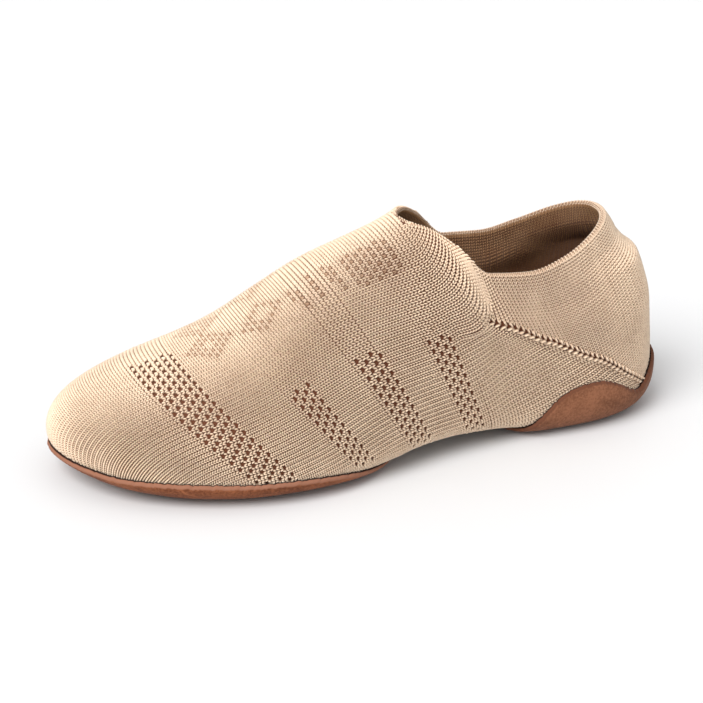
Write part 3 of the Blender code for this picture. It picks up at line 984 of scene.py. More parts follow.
@dataclass(frozen=True)
class KnitFinish:
    """Knitting yarn: its two colours, the scale of its clouds and fibres, and a cloth's weave."""

    name: str
    yarn: tuple[float, float, float]
    shade: tuple[float, float, float]
    cloud_scale: float = 70.0
    fibre_scale: float = 2600.0
    fibre_depth: float = 0.0002
    weave: float = 0.0
    weave_depth: float = 0.0005

    def material(self) -> bpy.types.Material:
        """The material: matt yarn, shaded from stitch to stitch and in soft clouds; each point's
        shade value also holds painted shade.
        """
        paint = bpy.data.materials.new(self.name)
        paint.use_nodes = True
        tree = paint.node_tree
        link = tree.links.new
        shader = tree.nodes["Principled BSDF"]
        fill(shader, Roughness=0.85, Sheen_Weight=0.06, Sheen_Roughness=0.4)
        shader.inputs["Specular IOR Level"].default_value = 0.2
        place = add_node(tree, "ShaderNodeTexCoord")
        own = add_node(tree, "ShaderNodeAttribute", attribute_name="shade")
        yarn = add_node(tree, "ShaderNodeGroup", node_tree=yarn_group())
        fill(yarn, Yarn=(*self.yarn, 1), Shade=(*self.shade, 1), Weave=0.0)
        fill(yarn, Cloud_Scale=self.cloud_scale, Fibre_Scale=self.fibre_scale)
        link(place.outputs["Object"], yarn.inputs["Vector"])
        link(own.outputs["Fac"], yarn.inputs["Own Shade"])
        link(yarn.outputs["Color"], shader.inputs["Base Color"])
        bump = fill(add_node(tree, "ShaderNodeBump"), Strength=0.35, Distance=self.fibre_depth)
        link(yarn.outputs["Height"], bump.inputs["Height"])
        link(bump.outputs["Normal"], shader.inputs["Normal"])
        if self.weave > 0:
            self.add_weave(tree, place, yarn, bump)
        return paint

    def add_weave(
        self,
        tree: bpy.types.NodeTree,
        place: bpy.types.Node,
        yarn: bpy.types.Node,
        bump: bpy.types.Node,
    ) -> None:
        """Lays a plain weave under the fibres: bands along X times bands along Y.

        Args:
            tree: the material's nodes.
            place: its texture coordinates.
            yarn: its yarn group, whose colour the weave shades.
            bump: its fibre bump, which the weave goes under.
        """
        link = tree.links.new
        threads = []
        for way in ("X", "Y"):
            wave = add_node(tree, "ShaderNodeTexWave", wave_type="BANDS", bands_direction=way)
            fill(wave, Scale=self.weave, Distortion=0.6, Detail=1.0)
            link(place.outputs["Object"], wave.inputs["Vector"])
            threads.append(wave)
        cloth = add_node(tree, "ShaderNodeMath", operation="MULTIPLY")
        link(threads[0].outputs["Fac"], cloth.inputs[0])
        link(threads[1].outputs["Fac"], cloth.inputs[1])
        under = fill(add_node(tree, "ShaderNodeBump"), Strength=0.8, Distance=self.weave_depth)
        link(cloth.outputs[0], under.inputs["Height"])
        link(under.outputs["Normal"], bump.inputs["Normal"])
        dots = fill(add_node(tree, "ShaderNodeMapRange"), To_Min=-0.45, To_Max=0.35)
        link(cloth.outputs[0], dots.inputs["Value"])
        link(dots.outputs["Result"], yarn.inputs["Weave"])


@dataclass
class KnitShell:
    """The wall of the knitted upper under its stitches, with its rolled edge at the mouth.

    Offsets count outwards from the surface: sunk is how deep the wall lies under the stitches,
    rim_out and rim_in are those of the bead. The shades darken or lighten the yarn's colour: the
    outer face under the stitches is dark as painted shade between them and in the eyelets, lighter
    on the bead, and the inner face is dark as painted shade inside the shoe, lighter near the
    mouth.
    """

    skin: Skin
    finish: KnitFinish
    wall: float = 0.0021
    sunk: float = 0.00045
    rim_out: float = -0.00035
    rim_in: float = -0.0003
    rim_high: float = 0.0016
    rim_steps: int = 8
    bead_fade: float = 0.0014
    around: int = 240
    up: int = 60
    fine_from: float = 0.905
    fine_rows: int = 16
    # Painted shade: dark under the stitches and on the inner face, lighter on the bead and near the
    # mouth
    painted_gap_shade: float = -0.4
    bead_shade: float = 0.6
    inside_painted_shade: float = 0.12
    inside_rim_painted_light: float = 0.2
    edge_shade: float = 0.25

    def build(self) -> bpy.types.Object:
        """The wall: section lines all round, set in by sunk outside, with a bead at the mouth."""
        skin = self.skin
        share = np.r_[np.linspace(0, 0.9, self.up), np.linspace(self.fine_from, 1, self.fine_rows)]
        halves = []
        for chart in (skin.outer, skin.inner):
            station = np.linspace(chart.first, chart.last, self.around)
            x, p = np.meshgrid(station, share, indexing="ij")
            halves.append(chart.at(x.ravel(), p.ravel())[0].reshape(*x.shape, 3))
        grid = np.concatenate([halves[0], halves[1][::-1]])
        quads = grid_quads(len(grid), grid.shape[1], True)[:, ::-1]
        points, tris, _ = weld(grid.reshape(-1, 3), quads)
        tris, normals = face_floor(points, tris, 0.004)
        rim = points[np.unique(free_edges(tris))]
        away = np.sqrt(((points[:, None] - rim[None]) ** 2).sum(-1).min(1))
        bead = soft_step((self.rim_high - away) / self.bead_fade)
        far = -self.sunk + (self.sunk + self.rim_out) * bead
        near = -self.wall - self.rim_in * bead
        every, faces, depth = thick_sheet(points, tris, normals, near, far, self.rim_steps)
        # Painted shade: the outer face is dark under the stitches and in the eyelets, lighter on
        # the bead
        outside = bead * self.bead_shade + self.painted_gap_shade
        # Painted shade: the inner face is dark inside the shoe, a little lighter near the mouth
        inside = bead * self.inside_rim_painted_light + self.inside_painted_shade
        edge = np.full(len(every) - 2 * len(bead), self.edge_shade)
        values = {"depth": depth, "shade": np.concatenate([outside, inside, edge])}
        piece = mesh_piece("knit_shell", every + skin.step, faces, self.finish.material(), values)
        return settle(piece, Slot.KNIT, "upper")


# The gore in the chart of each side: station, share of the way up the section
GORE = (
    (0.0797, 0.806),
    (0.0691, 0.772),
    (0.0541, 0.687),
    (0.0374, 0.547),
    (0.0199, 0.412),
    (0.0019, 0.303),
)


@dataclass(frozen=True)
class EyeletBand:
    """A band of eyelets, in millimetres.

    The courses lie between the planes v = back and v = front, and the wales between start and
    end from the ridge. On the inner side they start at inner_start.
    """

    back: float
    front: float
    courses: int
    start: float
    inner_start: float
    end: float


# Three short bands from the waist to the ball, and the long one that crosses the toes
BANDS = (
    EyeletBand(-36.0, -26.9, 8, 53.0, 53.0, 200.0),
    EyeletBand(-12.6, -1.8, 8, 51.0, 51.0, 200.0),
    EyeletBand(14.3, 24.0, 8, 47.0, 47.0, 90.0),
    EyeletBand(46.0, 64.0, 12, 1.0, 16.0, 80.0),
)

# Open-work figures of the instep, in millimetres of station and of distance from the ridge:
# middle of each diamond, station of each bar, middle of the block
DIAMONDS = ((184.0, 9.5), (164.0, 11.5))
BARS = (151.0, 144.0, 137.0)
BLOCK = (122.0, 17.0)

# Flat place of a stitch that no suede patch can cover
OFF_PATTERN = 9.0


@dataclass
class Stitches:
    """Stitches as whole arrays, one row each.

    place is on the surface, normal points out of it, along runs up the wale and across to the
    next wale. pitch and width are the steps to the neighbours, wale and course count them. flat
    is the place on the patches' flat patterns, station the chart's, shade the tone of the yarn,
    which holds painted shade on the stitches inside the wall and on the opened stitches of the
    figures.
    """

    place: np.ndarray
    normal: np.ndarray
    along: np.ndarray
    across: np.ndarray
    pitch: np.ndarray
    width: np.ndarray
    wale: np.ndarray
    course: np.ndarray
    flat: np.ndarray
    station: np.ndarray
    shade: np.ndarray

    def kept(self, mask: np.ndarray) -> "Stitches":
        """Only the stitches where mask is set."""
        return Stitches(*(part[mask] for part in vars(self).values()))

    def reversed(self) -> "Stitches":
        """These stitches with the wales run the other way."""
        self.along = -self.along
        self.across = -self.across
        return self

    def chain(self, width: float) -> "Stitches":
        """Only the first wale, turned to run the other way.

        Args:
            width: the width of its stitches.

        Returns:
            The stitches of that wale.
        """
        first = self.kept(self.wale == 0)
        first.width = np.full(len(first.place), width)
        first.pitch = np.linalg.norm(np.gradient(first.place, axis=0), axis=1)
        first.along = -first.along
        first.across = -first.across
        return first

    def joined(self, other: "Stitches") -> "Stitches":
        """These stitches followed by the others."""
        pairs = zip(vars(self).values(), vars(other).values())
        return Stitches(*(np.concatenate(pair) for pair in pairs))


def difference(points: np.ndarray, axis: int) -> np.ndarray:
    """Step from each point of a lattice to the next along an axis, or from the one before.

    Args:
        points: lattice of points, not a number where off.
        axis: the axis to step along.

    Returns:
        The mean of both steps, or the one there is.
    """
    pad = np.full_like(np.take(points, [0], axis), np.nan)
    ahead = np.diff(points, axis=axis, append=pad)
    behind = np.diff(points, axis=axis, prepend=pad)
    both = (ahead + behind) / 2
    return np.where(np.isnan(both), np.where(np.isnan(ahead), behind, ahead), both)


@dataclass
class KnitField:
    """Lays the wales and courses of the knit over the surface.

    Ahead of the mouth each course lies in a plane that leans back more and more to the toe:
    x = v + (z - z0) (lean + turn v). The wales lie at even distances along the courses. Behind
    it the wales go on as smooth curves to the edge of the mouth or to the gore of the heel, and
    the heel pocket has wales of its own from the gore up to the edge.
    """

    skin: Skin
    wale: float = 0.0020
    course: float = 0.00105
    toe_course: float = 0.00130
    back_course: float = 0.00128
    edge_wale: float = 0.00152
    level: float = 0.012
    lean: float = 0.62
    turn: float = 7.2
    most: int = 90
    first_gap: float = 0.0006
    tip_gap: float = 0.0005
    past_bands: float = 0.13
    bottom_slack: float = 0.6
    # Wales that end on the mouth's edge ahead of the gore, and how they crowd towards it
    gore_wale: int = 30
    edge_x: float = 0.085
    crowd: float = 0.88
    seam_share: float = 0.86
    # Ways of the wales in station and distance up: at the front of the mouth, where they end on
    # the gore's top, and past it
    up_way: tuple[float, float] = (-0.25, 0.97)
    gore_way: tuple[float, float] = (-0.35, 0.94)
    back_way: tuple[float, float] = (-1.0, 0.12)
    past_wales: float = 9.0
    arrive_ease: float = 0.55
    leave_ease: float = 0.7
    # The wales ahead of the gore are drawn aside towards its point
    pull: float = 0.86
    pull_from: float = 0.4
    pull_power: float = 1.6
    # Limits of a stitch, and where the stitches of the edge and of the lining sit
    pitch_limits: tuple[float, float] = (0.0006, 0.0019)
    width_limits: tuple[float, float] = (0.0011, 0.0031)
    edge_sink: float = 0.0002
    edge_drop: float = 0.0004
    edge_pitch: float = 0.70
    lining_lift: float = 0.0001
    edge_turns: tuple[float, ...] = (0.0, 36.0, 72.0, 108.0, 144.0, 180.0)
    # Tones of the stitches: outside, round the edge, and deep down the inner face, where the
    # darkening is painted shade
    yarn_shade: float = 0.75
    edge_shade: float = 0.72
    deep_painted_shade: float = 0.10
    deep_courses: int = 24

    def plane(self, points: np.ndarray) -> np.ndarray:
        """v of the leaning plane through each point: (x - (z-z0) lean) / (1 + (z-z0) turn)."""
        rise = points[..., 2] + self.skin.step[2] - self.level
        return (points[..., 0] + self.skin.step[0] - rise * self.lean) / (1 + rise * self.turn)

    def first_plane(self) -> float:
        """v of the course through the front of the mouth."""
        form = self.skin.form
        station = np.array([form.mouth_front * form.length])
        return float(self.plane(self.skin.outer.at(station, np.ones(1))[0])[0])

    def levels(self, last: float) -> np.ndarray:
        """v of every course, evenly spaced in each eyelet band and between the bands.

        Args:
            last: v at which the courses end.

        Returns:
            v of each course, rising from the mouth to the toe.
        """
        edges = [edge / 1000 for band in BANDS for edge in (band.back, band.front)]
        marks = [self.first_plane() + self.first_gap, *edges, last]
        runs = []
        for n in range(len(marks) - 1):
            step = self.toe_course if n == len(marks) - 2 else self.course
            count = max(1, round((marks[n + 1] - marks[n]) / step))
            if n % 2 == 1 and n // 2 < len(BANDS):
                count = BANDS[n // 2].courses
            runs.append(np.linspace(marks[n], marks[n + 1], count, endpoint=False))
        return np.concatenate(runs)

    def first_course(self, band: EyeletBand) -> int:
        """Index of the course on the back edge of an eyelet band."""
        levels = self.levels(self.past_bands)
        return int(np.argmin(np.abs(levels * 1000 - band.back)))

    def front(self, side: Side) -> tuple[np.ndarray, np.ndarray]:
        """The front lattice, from the mouth to the toe.

        On each row of even share the course's station is read from v along the row. The course
        starts on the ridge or, past the toe's centre, on the tip's line.

        Args:
            side: the side.

        Returns:
            Stations and shares by course and wale, not a number where off.
        """
        chart = self.skin.chart(side)
        field_v = self.plane(chart.points)
        tip = field_v[-1]
        v = self.levels(tip.max() - self.tip_gap)
        share = np.linspace(0, 1, chart.shares)
        rising = np.maximum.accumulate(field_v, axis=0)
        columns = [np.interp(v, rising[:, j], chart.x) for j in range(chart.shares)]
        station = np.stack(columns, 1)
        lead = int(np.argmax(tip))
        start = np.interp(v, tip[lead:][::-1], share[lead:][::-1], left=1.0)
        start = np.where(v <= tip[-1], 1.0, start)
        out_x = np.full((len(v), self.most), np.nan)
        out_p = np.full((len(v), self.most), np.nan)
        q = (np.arange(self.most) + 0.5) * self.wale
        slack = self.bottom_slack * self.wale if side is Side.OUTER else 0.0
        for i in range(len(v)):
            p = np.r_[start[i], share[share < start[i] - 1e-6][::-1]]
            x = np.interp(p, share, station[i])
            if start[i] < 1:
                x[0] = chart.x[-1]
            run = self.run_of(chart.at(x, p)[0])
            good = q <= run[-1] + slack
            out_x[i, good] = np.interp(q[good], run, x)
            out_p[i, good] = np.interp(q[good], run, p)
        return out_x, out_p

    def run_of(self, points: np.ndarray) -> np.ndarray:
        """Distance run along a line of points, 0 at its first."""
        return np.r_[0, np.cumsum(np.linalg.norm(np.diff(points, axis=0), axis=1))]

    def gore_path(
        self, side: Side, ends: tuple[tuple[float, float], ...]
    ) -> tuple[np.ndarray, np.ndarray, float]:
        """The gore and the points after it, as 200 even places in the chart.

        Args:
            side: the side.
            ends: station and share of each point after the gore.

        Returns:
            Stations, shares, and the share of the path that is the gore.
        """
        chart = self.skin.chart(side)
        rows = np.array([*GORE, *ends])
        fine = np.linspace(0, len(rows) - 1, 400)
        x, p = (np.interp(fine, np.arange(len(rows)), rows[:, k]) for k in range(2))
        run = self.run_of(chart.at(x, p)[0])
        even = np.linspace(0, run[-1], 200)
        gore = np.interp(len(GORE) - 1, fine, run) / run[-1]
        return np.interp(even, run, x), np.interp(even, run, p), float(gore)

    def edge_path(self, side: Side) -> tuple[np.ndarray, np.ndarray, float]:
        """The mouth's edge from its front to its back, as 600 places.

        Args:
            side: the side.

        Returns:
            Stations, the distance run to each, and the run at which the heel pocket starts.
        """
        chart = self.skin.chart(side)
        form = self.skin.form
        x = np.linspace(form.mouth_front * form.length, chart.first, 600)
        run = self.run_of(chart.at(x, np.ones(len(x)))[0])
        return x, run, float(np.interp(-self.edge_x, -x, run))

    def curves(
        self,
        side: Side,
        start: np.ndarray,
        leave: np.ndarray,
        end: np.ndarray,
        arrive: np.ndarray,
        offset: float,
        pull: np.ndarray | float = 0.0,
    ) -> tuple[np.ndarray, np.ndarray]:
        """Smooth curves over the surface, each with a place for a stitch at every course.

        Each is a Hermite cubic in station and distance up the section, whose tangents are the
        given ways times the chord.

        Args:
            side: the side.
            start: station and distance up of each first point.
            leave: unit way there.
            end: the same of each last point.
            arrive: unit way there.
            offset: the first stitch's place, in courses.
            pull: how far the middle of each curve is drawn aside.

        Returns:
            Stations and shares by course and wale, not a number where off.
        """
        chart = self.skin.chart(side)
        t = np.linspace(0, 1, 160)[:, None, None]
        chord = np.linalg.norm(end - start, axis=1)[None, :, None]
        path = (2 * t**3 - 3 * t**2 + 1) * start + (t**3 - 2 * t**2 + t) * leave * chord
        path = path + (3 * t**2 - 2 * t**3) * end + (t**3 - t**2) * arrive * chord
        path = path + 16 * t**2 * (1 - t) ** 2 * pull
        x = path[..., 0]
        p = np.clip(path[..., 1] / chart.arc(x), 0, 1)
        points = chart.at(x, p)[0]
        steps = np.linalg.norm(np.diff(points, axis=0), axis=2)
        run = np.vstack([np.zeros(len(start)), np.cumsum(steps, 0)])
        places = (np.arange(int(run.max() / self.back_course) + 1) + offset) * self.back_course
        out_x = np.full((len(places), len(start)), np.nan)
        out_p = np.full((len(places), len(start)), np.nan)
        for k in range(len(start)):
            good = places <= run[-1, k]
            out_x[good, k] = np.interp(places[good], run[:, k], x[:, k])
            out_p[good, k] = np.interp(places[good], run[:, k], p[:, k])
        return out_x, out_p

    def waist(self, side: Side, x: np.ndarray, p: np.ndarray) -> tuple[np.ndarray, np.ndarray]:
        """The lattice behind the first course, from that course to the edge and the gore.

        The first gore_wale wales end on the mouth's edge, and the rest on the gore and under it.

        Args:
            side: the side.
            x: stations of the front lattice.
            p: its shares.

        Returns:
            Stations and shares by course and wale, not a number where off.
        """
        chart = self.skin.chart(side)
        good = ~np.isnan(x[0]) & ~np.isnan(x[3])
        start = np.c_[x[0, good], p[0, good] * chart.arc(x[0, good])]
        after = np.c_[x[3, good], p[3, good] * chart.arc(x[3, good])]
        k = np.arange(len(start)) + 0.5
        rising = k < self.gore_wale
        end_x, end_p = self.waist_ends(side, k, len(start))
        end = np.c_[end_x, end_p * chart.arc(end_x)]
        gore_x, gore_p = GORE[0]
        gore_up = gore_p * float(chart.arc(np.array(gore_x)))
        over_gore = (1 - gore_p) * float(chart.arc(np.array(gore_x)))
        slant = unit(np.array([self.edge_x - gore_x, over_gore]))
        near = soft_step(k / self.gore_wale)[:, None]
        past = soft_step((k - self.gore_wale) / self.past_wales)[:, None]
        up = unit(np.array(self.up_way) * (1 - near) + slant * near)
        level = unit(np.array(self.gore_way) * (1 - past) + np.array(self.back_way) * past)
        level = level * (self.arrive_ease + (1 - self.arrive_ease) * past)
        arrive = np.where(rising[:, None], up, level)
        leave = unit(start - after) * (self.leave_ease + (1 - self.leave_ease) * past)
        last = int(np.flatnonzero(rising)[-1])
        chord = np.linalg.norm(end[last] - start[last])
        middle = (start[last] + end[last]) / 2 + (leave[last] - arrive[last]) * chord / 8
        near_gore = (k / self.gore_wale - self.pull_from) / (1 - self.pull_from)
        drawn = np.clip(near_gore, 0, 1)[:, None] ** self.pull_power
        aside = drawn * self.pull * (np.array([gore_x, gore_up]) - middle)
        pull = np.where(rising[:, None], aside, 0.0)
        return self.curves(side, start, leave, end, arrive, 1.0, pull)

    def waist_ends(
        self, side: Side, k: np.ndarray, count: int
    ) -> tuple[np.ndarray, np.ndarray]:
        """Where the wales of the waist end, on the mouth's edge or along the gore.

        Args:
            side: the side.
            k: number of each wale from the ridge, and a half.
            count: how many wales there are.

        Returns:
            Station and share of each end.
        """
        edge_x, edge_run, gore_edge = self.edge_path(side)
        top_x = np.interp((k / self.gore_wale) ** self.crowd * gore_edge, edge_run, edge_x)
        path_x, path_p, gore = self.gore_path(side, ((0.010, 0.15), (0.030, 0.0)))
        seam_end = self.gore_wale + self.seam_share * (count - self.gore_wale)
        place = np.interp(k, [self.gore_wale, seam_end, count], [0, gore, 1])
        even = np.linspace(0, 1, len(path_x))
        rising = k < self.gore_wale
        x = np.where(rising, top_x, np.interp(place, even, path_x))
        return x, np.where(rising, 1.0, np.interp(place, even, path_p))

    def pocket_runs(self, edge_run: np.ndarray, gore_edge: float) -> np.ndarray:
        """Distance along the mouth's edge of each wale of the heel pocket.

        Args:
            edge_run: distance run along the edge.
            gore_edge: the run at which the pocket starts.

        Returns:
            The run of each wale, evenly spaced by about edge_wale.
        """
        count = int((edge_run[-1] - gore_edge) / self.edge_wale)
        return gore_edge + (np.arange(count) + 0.5) / count * (edge_run[-1] - gore_edge)

    def pocket(self, side: Side) -> tuple[np.ndarray, np.ndarray]:
        """The lattice of the heel pocket, courses counted down from the mouth's edge.

        Args:
            side: the side.

        Returns:
            Stations and shares by course and wale, not a number where off.
        """
        chart = self.skin.chart(side)
        edge_x, edge_run, gore_edge = self.edge_path(side)
        run = self.pocket_runs(edge_run, gore_edge)
        top_x = np.interp(run, edge_run, edge_x)
        path_x, path_p, _ = self.gore_path(side, ((chart.first, 0.26),))
        part = (np.arange(len(run)) + 0.5) / len(run)
        low_x = np.interp(part, np.linspace(0, 1, len(path_x)), path_x)
        low_p = np.interp(part, np.linspace(0, 1, len(path_x)), path_p)
        start = np.c_[top_x, chart.arc(top_x)]
        end = np.c_[low_x, low_p * chart.arc(low_x)]
        straight = unit(end - start)
        down = np.broadcast_to(np.array([0.0, -1.0]), straight.shape)
        return self.curves(side, start, unit(straight + 0.6 * down), end, straight, 0.5)

    def rolled(self, side: Side, wall: float, inside: int) -> Stitches:
        """Stitches that go over the mouth's edge and down the inner face of the wall.

        Round the edge they sit on a half circle from the outer face to the inner face. Down the
        inner face they darken as painted shade inside the shoe.

        Args:
            side: the side.
            wall: thickness that the edge goes over.
            inside: courses down the inner face.

        Returns:
            The stitches.
        """
        chart = self.skin.chart(side)
        edge_x, edge_run, gore_edge = self.edge_path(side)
        ahead = (np.arange(self.gore_wale) + 0.5) / self.gore_wale
        run = np.r_[ahead**self.crowd * gore_edge, self.pocket_runs(edge_run, gore_edge)]
        x = np.interp(run, edge_run, edge_x)
        top, normal = chart.at(x, np.ones(len(x)))
        below = chart.at(x, np.full(len(x), 0.97))[0]
        up = unit(top - below)
        normal = unit(normal - up * (normal * up).sum(1, keepdims=True))
        half = wall / 2 - self.edge_sink
        place, out, way, pitch = [], [], [], []
        for turn in np.radians(self.edge_turns):
            out.append(normal * np.cos(turn) + up * np.sin(turn))
            way.append(up * np.cos(turn) - normal * np.sin(turn))
            place.append(top - normal * wall / 2 + out[-1] * half - up * self.edge_drop)
            pitch.append(np.full(len(x), half * self.edge_pitch))
        for row in range(1, inside + 1):
            share = 1 - row * self.back_course / chart.arc(x)
            point, face = chart.at(x, share)
            out.append(-face)
            way.append(-up)
            place.append(point - face * (wall - self.lining_lift))
            pitch.append(np.full(len(x), self.back_course))
        rows = len(place)
        place, out, way, pitch = (np.concatenate(part) for part in (place, out, way, pitch))
        course, wale = np.divmod(np.arange(len(place)), len(x))
        # Painted shade: the stitches darken course by course down the inner face, where the shoe is
        # in shade
        deep = soft_step((course - len(self.edge_turns) + 3) / self.deep_courses)
        return Stitches(
            place=place,
            normal=unit(out),
            along=way,
            across=unit(np.cross(out, way)),
            pitch=pitch,
            width=np.tile(np.abs(np.gradient(run)), rows),
            wale=wale,
            course=course,
            flat=np.full((len(place), 2), OFF_PATTERN),
            station=np.tile(x, rows),
            shade=self.edge_shade + (self.deep_painted_shade - self.edge_shade) * deep,
        )

    def stitches(self, side: Side, x: np.ndarray, p: np.ndarray) -> Stitches:
        """The stitches of one lattice, each along its wale and across to the next.

        Args:
            side: the side.
            x: stations by course and wale, not a number where off.
            p: shares.

        Returns:
            The stitches.
        """
        chart = self.skin.chart(side)
        on = ~np.isnan(x)
        points, normals = chart.at(np.where(on, x, 0.1), np.where(on, p, 0.5))
        points[~on] = np.nan
        along = difference(points, 0)
        over = difference(points, 1)
        pitch = np.linalg.norm(along, axis=2)
        width = np.linalg.norm(over, axis=2)
        on = on & ~np.isnan(pitch) & ~np.isnan(width)
        course, wale = np.nonzero(on)
        way = unit(along[on])
        start, line = chart.lines(x[on])
        return Stitches(
            place=points[on],
            normal=normals[on],
            along=way,
            across=unit(np.cross(normals[on], way)),
            pitch=np.clip(pitch[on], *self.pitch_limits),
            width=np.clip(width[on], *self.width_limits),
            wale=wale,
            course=course,
            flat=start + line * (p[on] * chart.arc(x[on]))[:, None],
            station=x[on],
            shade=np.full(len(course), self.yarn_shade),
        )

    def braid(self, side: Side, pitch: float, width: float) -> Stitches:
        """The raised chain of stitches along the gore.

        Args:
            side: the side.
            pitch: step from one to the next.
            width: width of each.

        Returns:
            The stitches.
        """
        chart = self.skin.chart(side)
        path_x, path_p, _ = self.gore_path(side, ())
        run = self.run_of(chart.at(path_x, path_p)[0])
        at = np.arange(0.3 * pitch, run[-1], pitch)
        x = np.repeat(np.interp(at, run, path_x)[:, None], 2, 1) + np.array([0, 1e-4])
        p = np.repeat(np.interp(at, run, path_p)[:, None], 2, 1)
        return self.stitches(side, x, p).chain(width)


@dataclass
class KnitStitches:
    """Turns stitches into mesh: each is a V of two plump legs, three-sided and closed.

    high and low are the leg's height over the surface and depth under it. The other sizes of a
    leg are shares of the stitch's width, and its reach a share of the pitch.
    """

    finish: KnitFinish
    high: float = 0.00060
    low: float = 0.00085
    half_wide: float = 0.195
    middle: float = 0.25
    reach_out: float = 0.66
    slant: float = 0.15
    full_width: float = 0.0019
    least_plump: float = 0.55
    wander: float = 0.009
    mottle: float = 0.05
    # Painted shade and light on the eight points of each leg: dark at the tips and sides, where the
    # legs meet and tuck under one another, and light on the top
    painted_crevice_shade: tuple[float, ...] = (-0.80, -0.38, 0.20, -0.38, -0.38, 0.20, -0.38, -0.80)
    seed: int = 7

    def build(self, name: str, knit: Stitches, step: np.ndarray) -> bpy.types.Object:
        """One joined mesh of the stitches.

        A leg's middle line is (t reach, middle + slant t) in pitches and widths, t from -1 to 1.
        It has a tip at each end, sunk by low, and two rings of three: both sides at the surface
        and a top at high. Narrow stitches are less high, by width over full_width.

        Args:
            name: the piece's name.
            knit: the stitches.
            step: from the surface's own origin to the frame.

        Returns:
            The piece.
        """
        rng = np.random.default_rng(self.seed)
        count = len(knit.place)
        turn = rng.normal(0, self.wander, count)
        plump = np.clip(knit.width / self.full_width, self.least_plump, 1.0)
        legs = []
        for hand in (-1.0, 1.0):
            rows = []
            for t, side, rise in self.leg_points():
                run = (t + turn) * self.reach_out * knit.pitch
                off = hand * (self.middle + self.slant * t + side * self.half_wide) * knit.width
                point = knit.place + knit.along * run[:, None] + knit.across * off[:, None]
                height = rise * plump if rise > 0 else np.full(count, rise)
                rows.append(point + knit.normal * height[:, None])
            legs.append(np.stack(rows, 1))
        points = np.concatenate(legs, 0)
        faces = self.leg_faces()
        start = np.arange(2 * count)[:, None, None] * points.shape[1]
        hands = np.repeat([False, True], count)
        turned = np.where(hands[:, None, None], faces[None, :, ::-1], faces[None])
        tris = (turned + start).reshape(-1, 3)
        shade = np.concatenate([knit.shade, knit.shade]) + rng.normal(0, self.mottle, 2 * count)
        # Each point's shade value takes the painted shade of its place on the leg
        values = {"shade": (shade[:, None] + np.array(self.painted_crevice_shade)).ravel()}
        points = points.reshape(-1, 3) + step
        piece = mesh_piece(name, points, tris, self.finish.material(), values)
        return settle(piece, Slot.KNIT)

    def leg_points(self) -> list[tuple[float, float, float]]:
        """Place along, share across and height of the eight points of a leg."""
        rows = [(-1.0, 0.0, -self.low * 0.6)]
        for t in (-0.46, 0.46):
            rows += [(t, -1.0, -self.low * 0.5), (t, 0.0, self.high), (t, 1.0, -self.low * 0.5)]
        return [*rows, (1.0, 0.0, -self.low * 0.6)]

    def leg_faces(self) -> np.ndarray:
        """Triangles of a leg: a fan at each tip and three strips between the rings."""
        faces = []
        for n in range(3):
            m = (n + 1) % 3
            faces += [(0, 1 + m, 1 + n), (1 + n, 1 + m, 4 + m)]
            faces += [(1 + n, 4 + m, 4 + n), (4 + n, 4 + m, 7)]
        return np.array(faces)


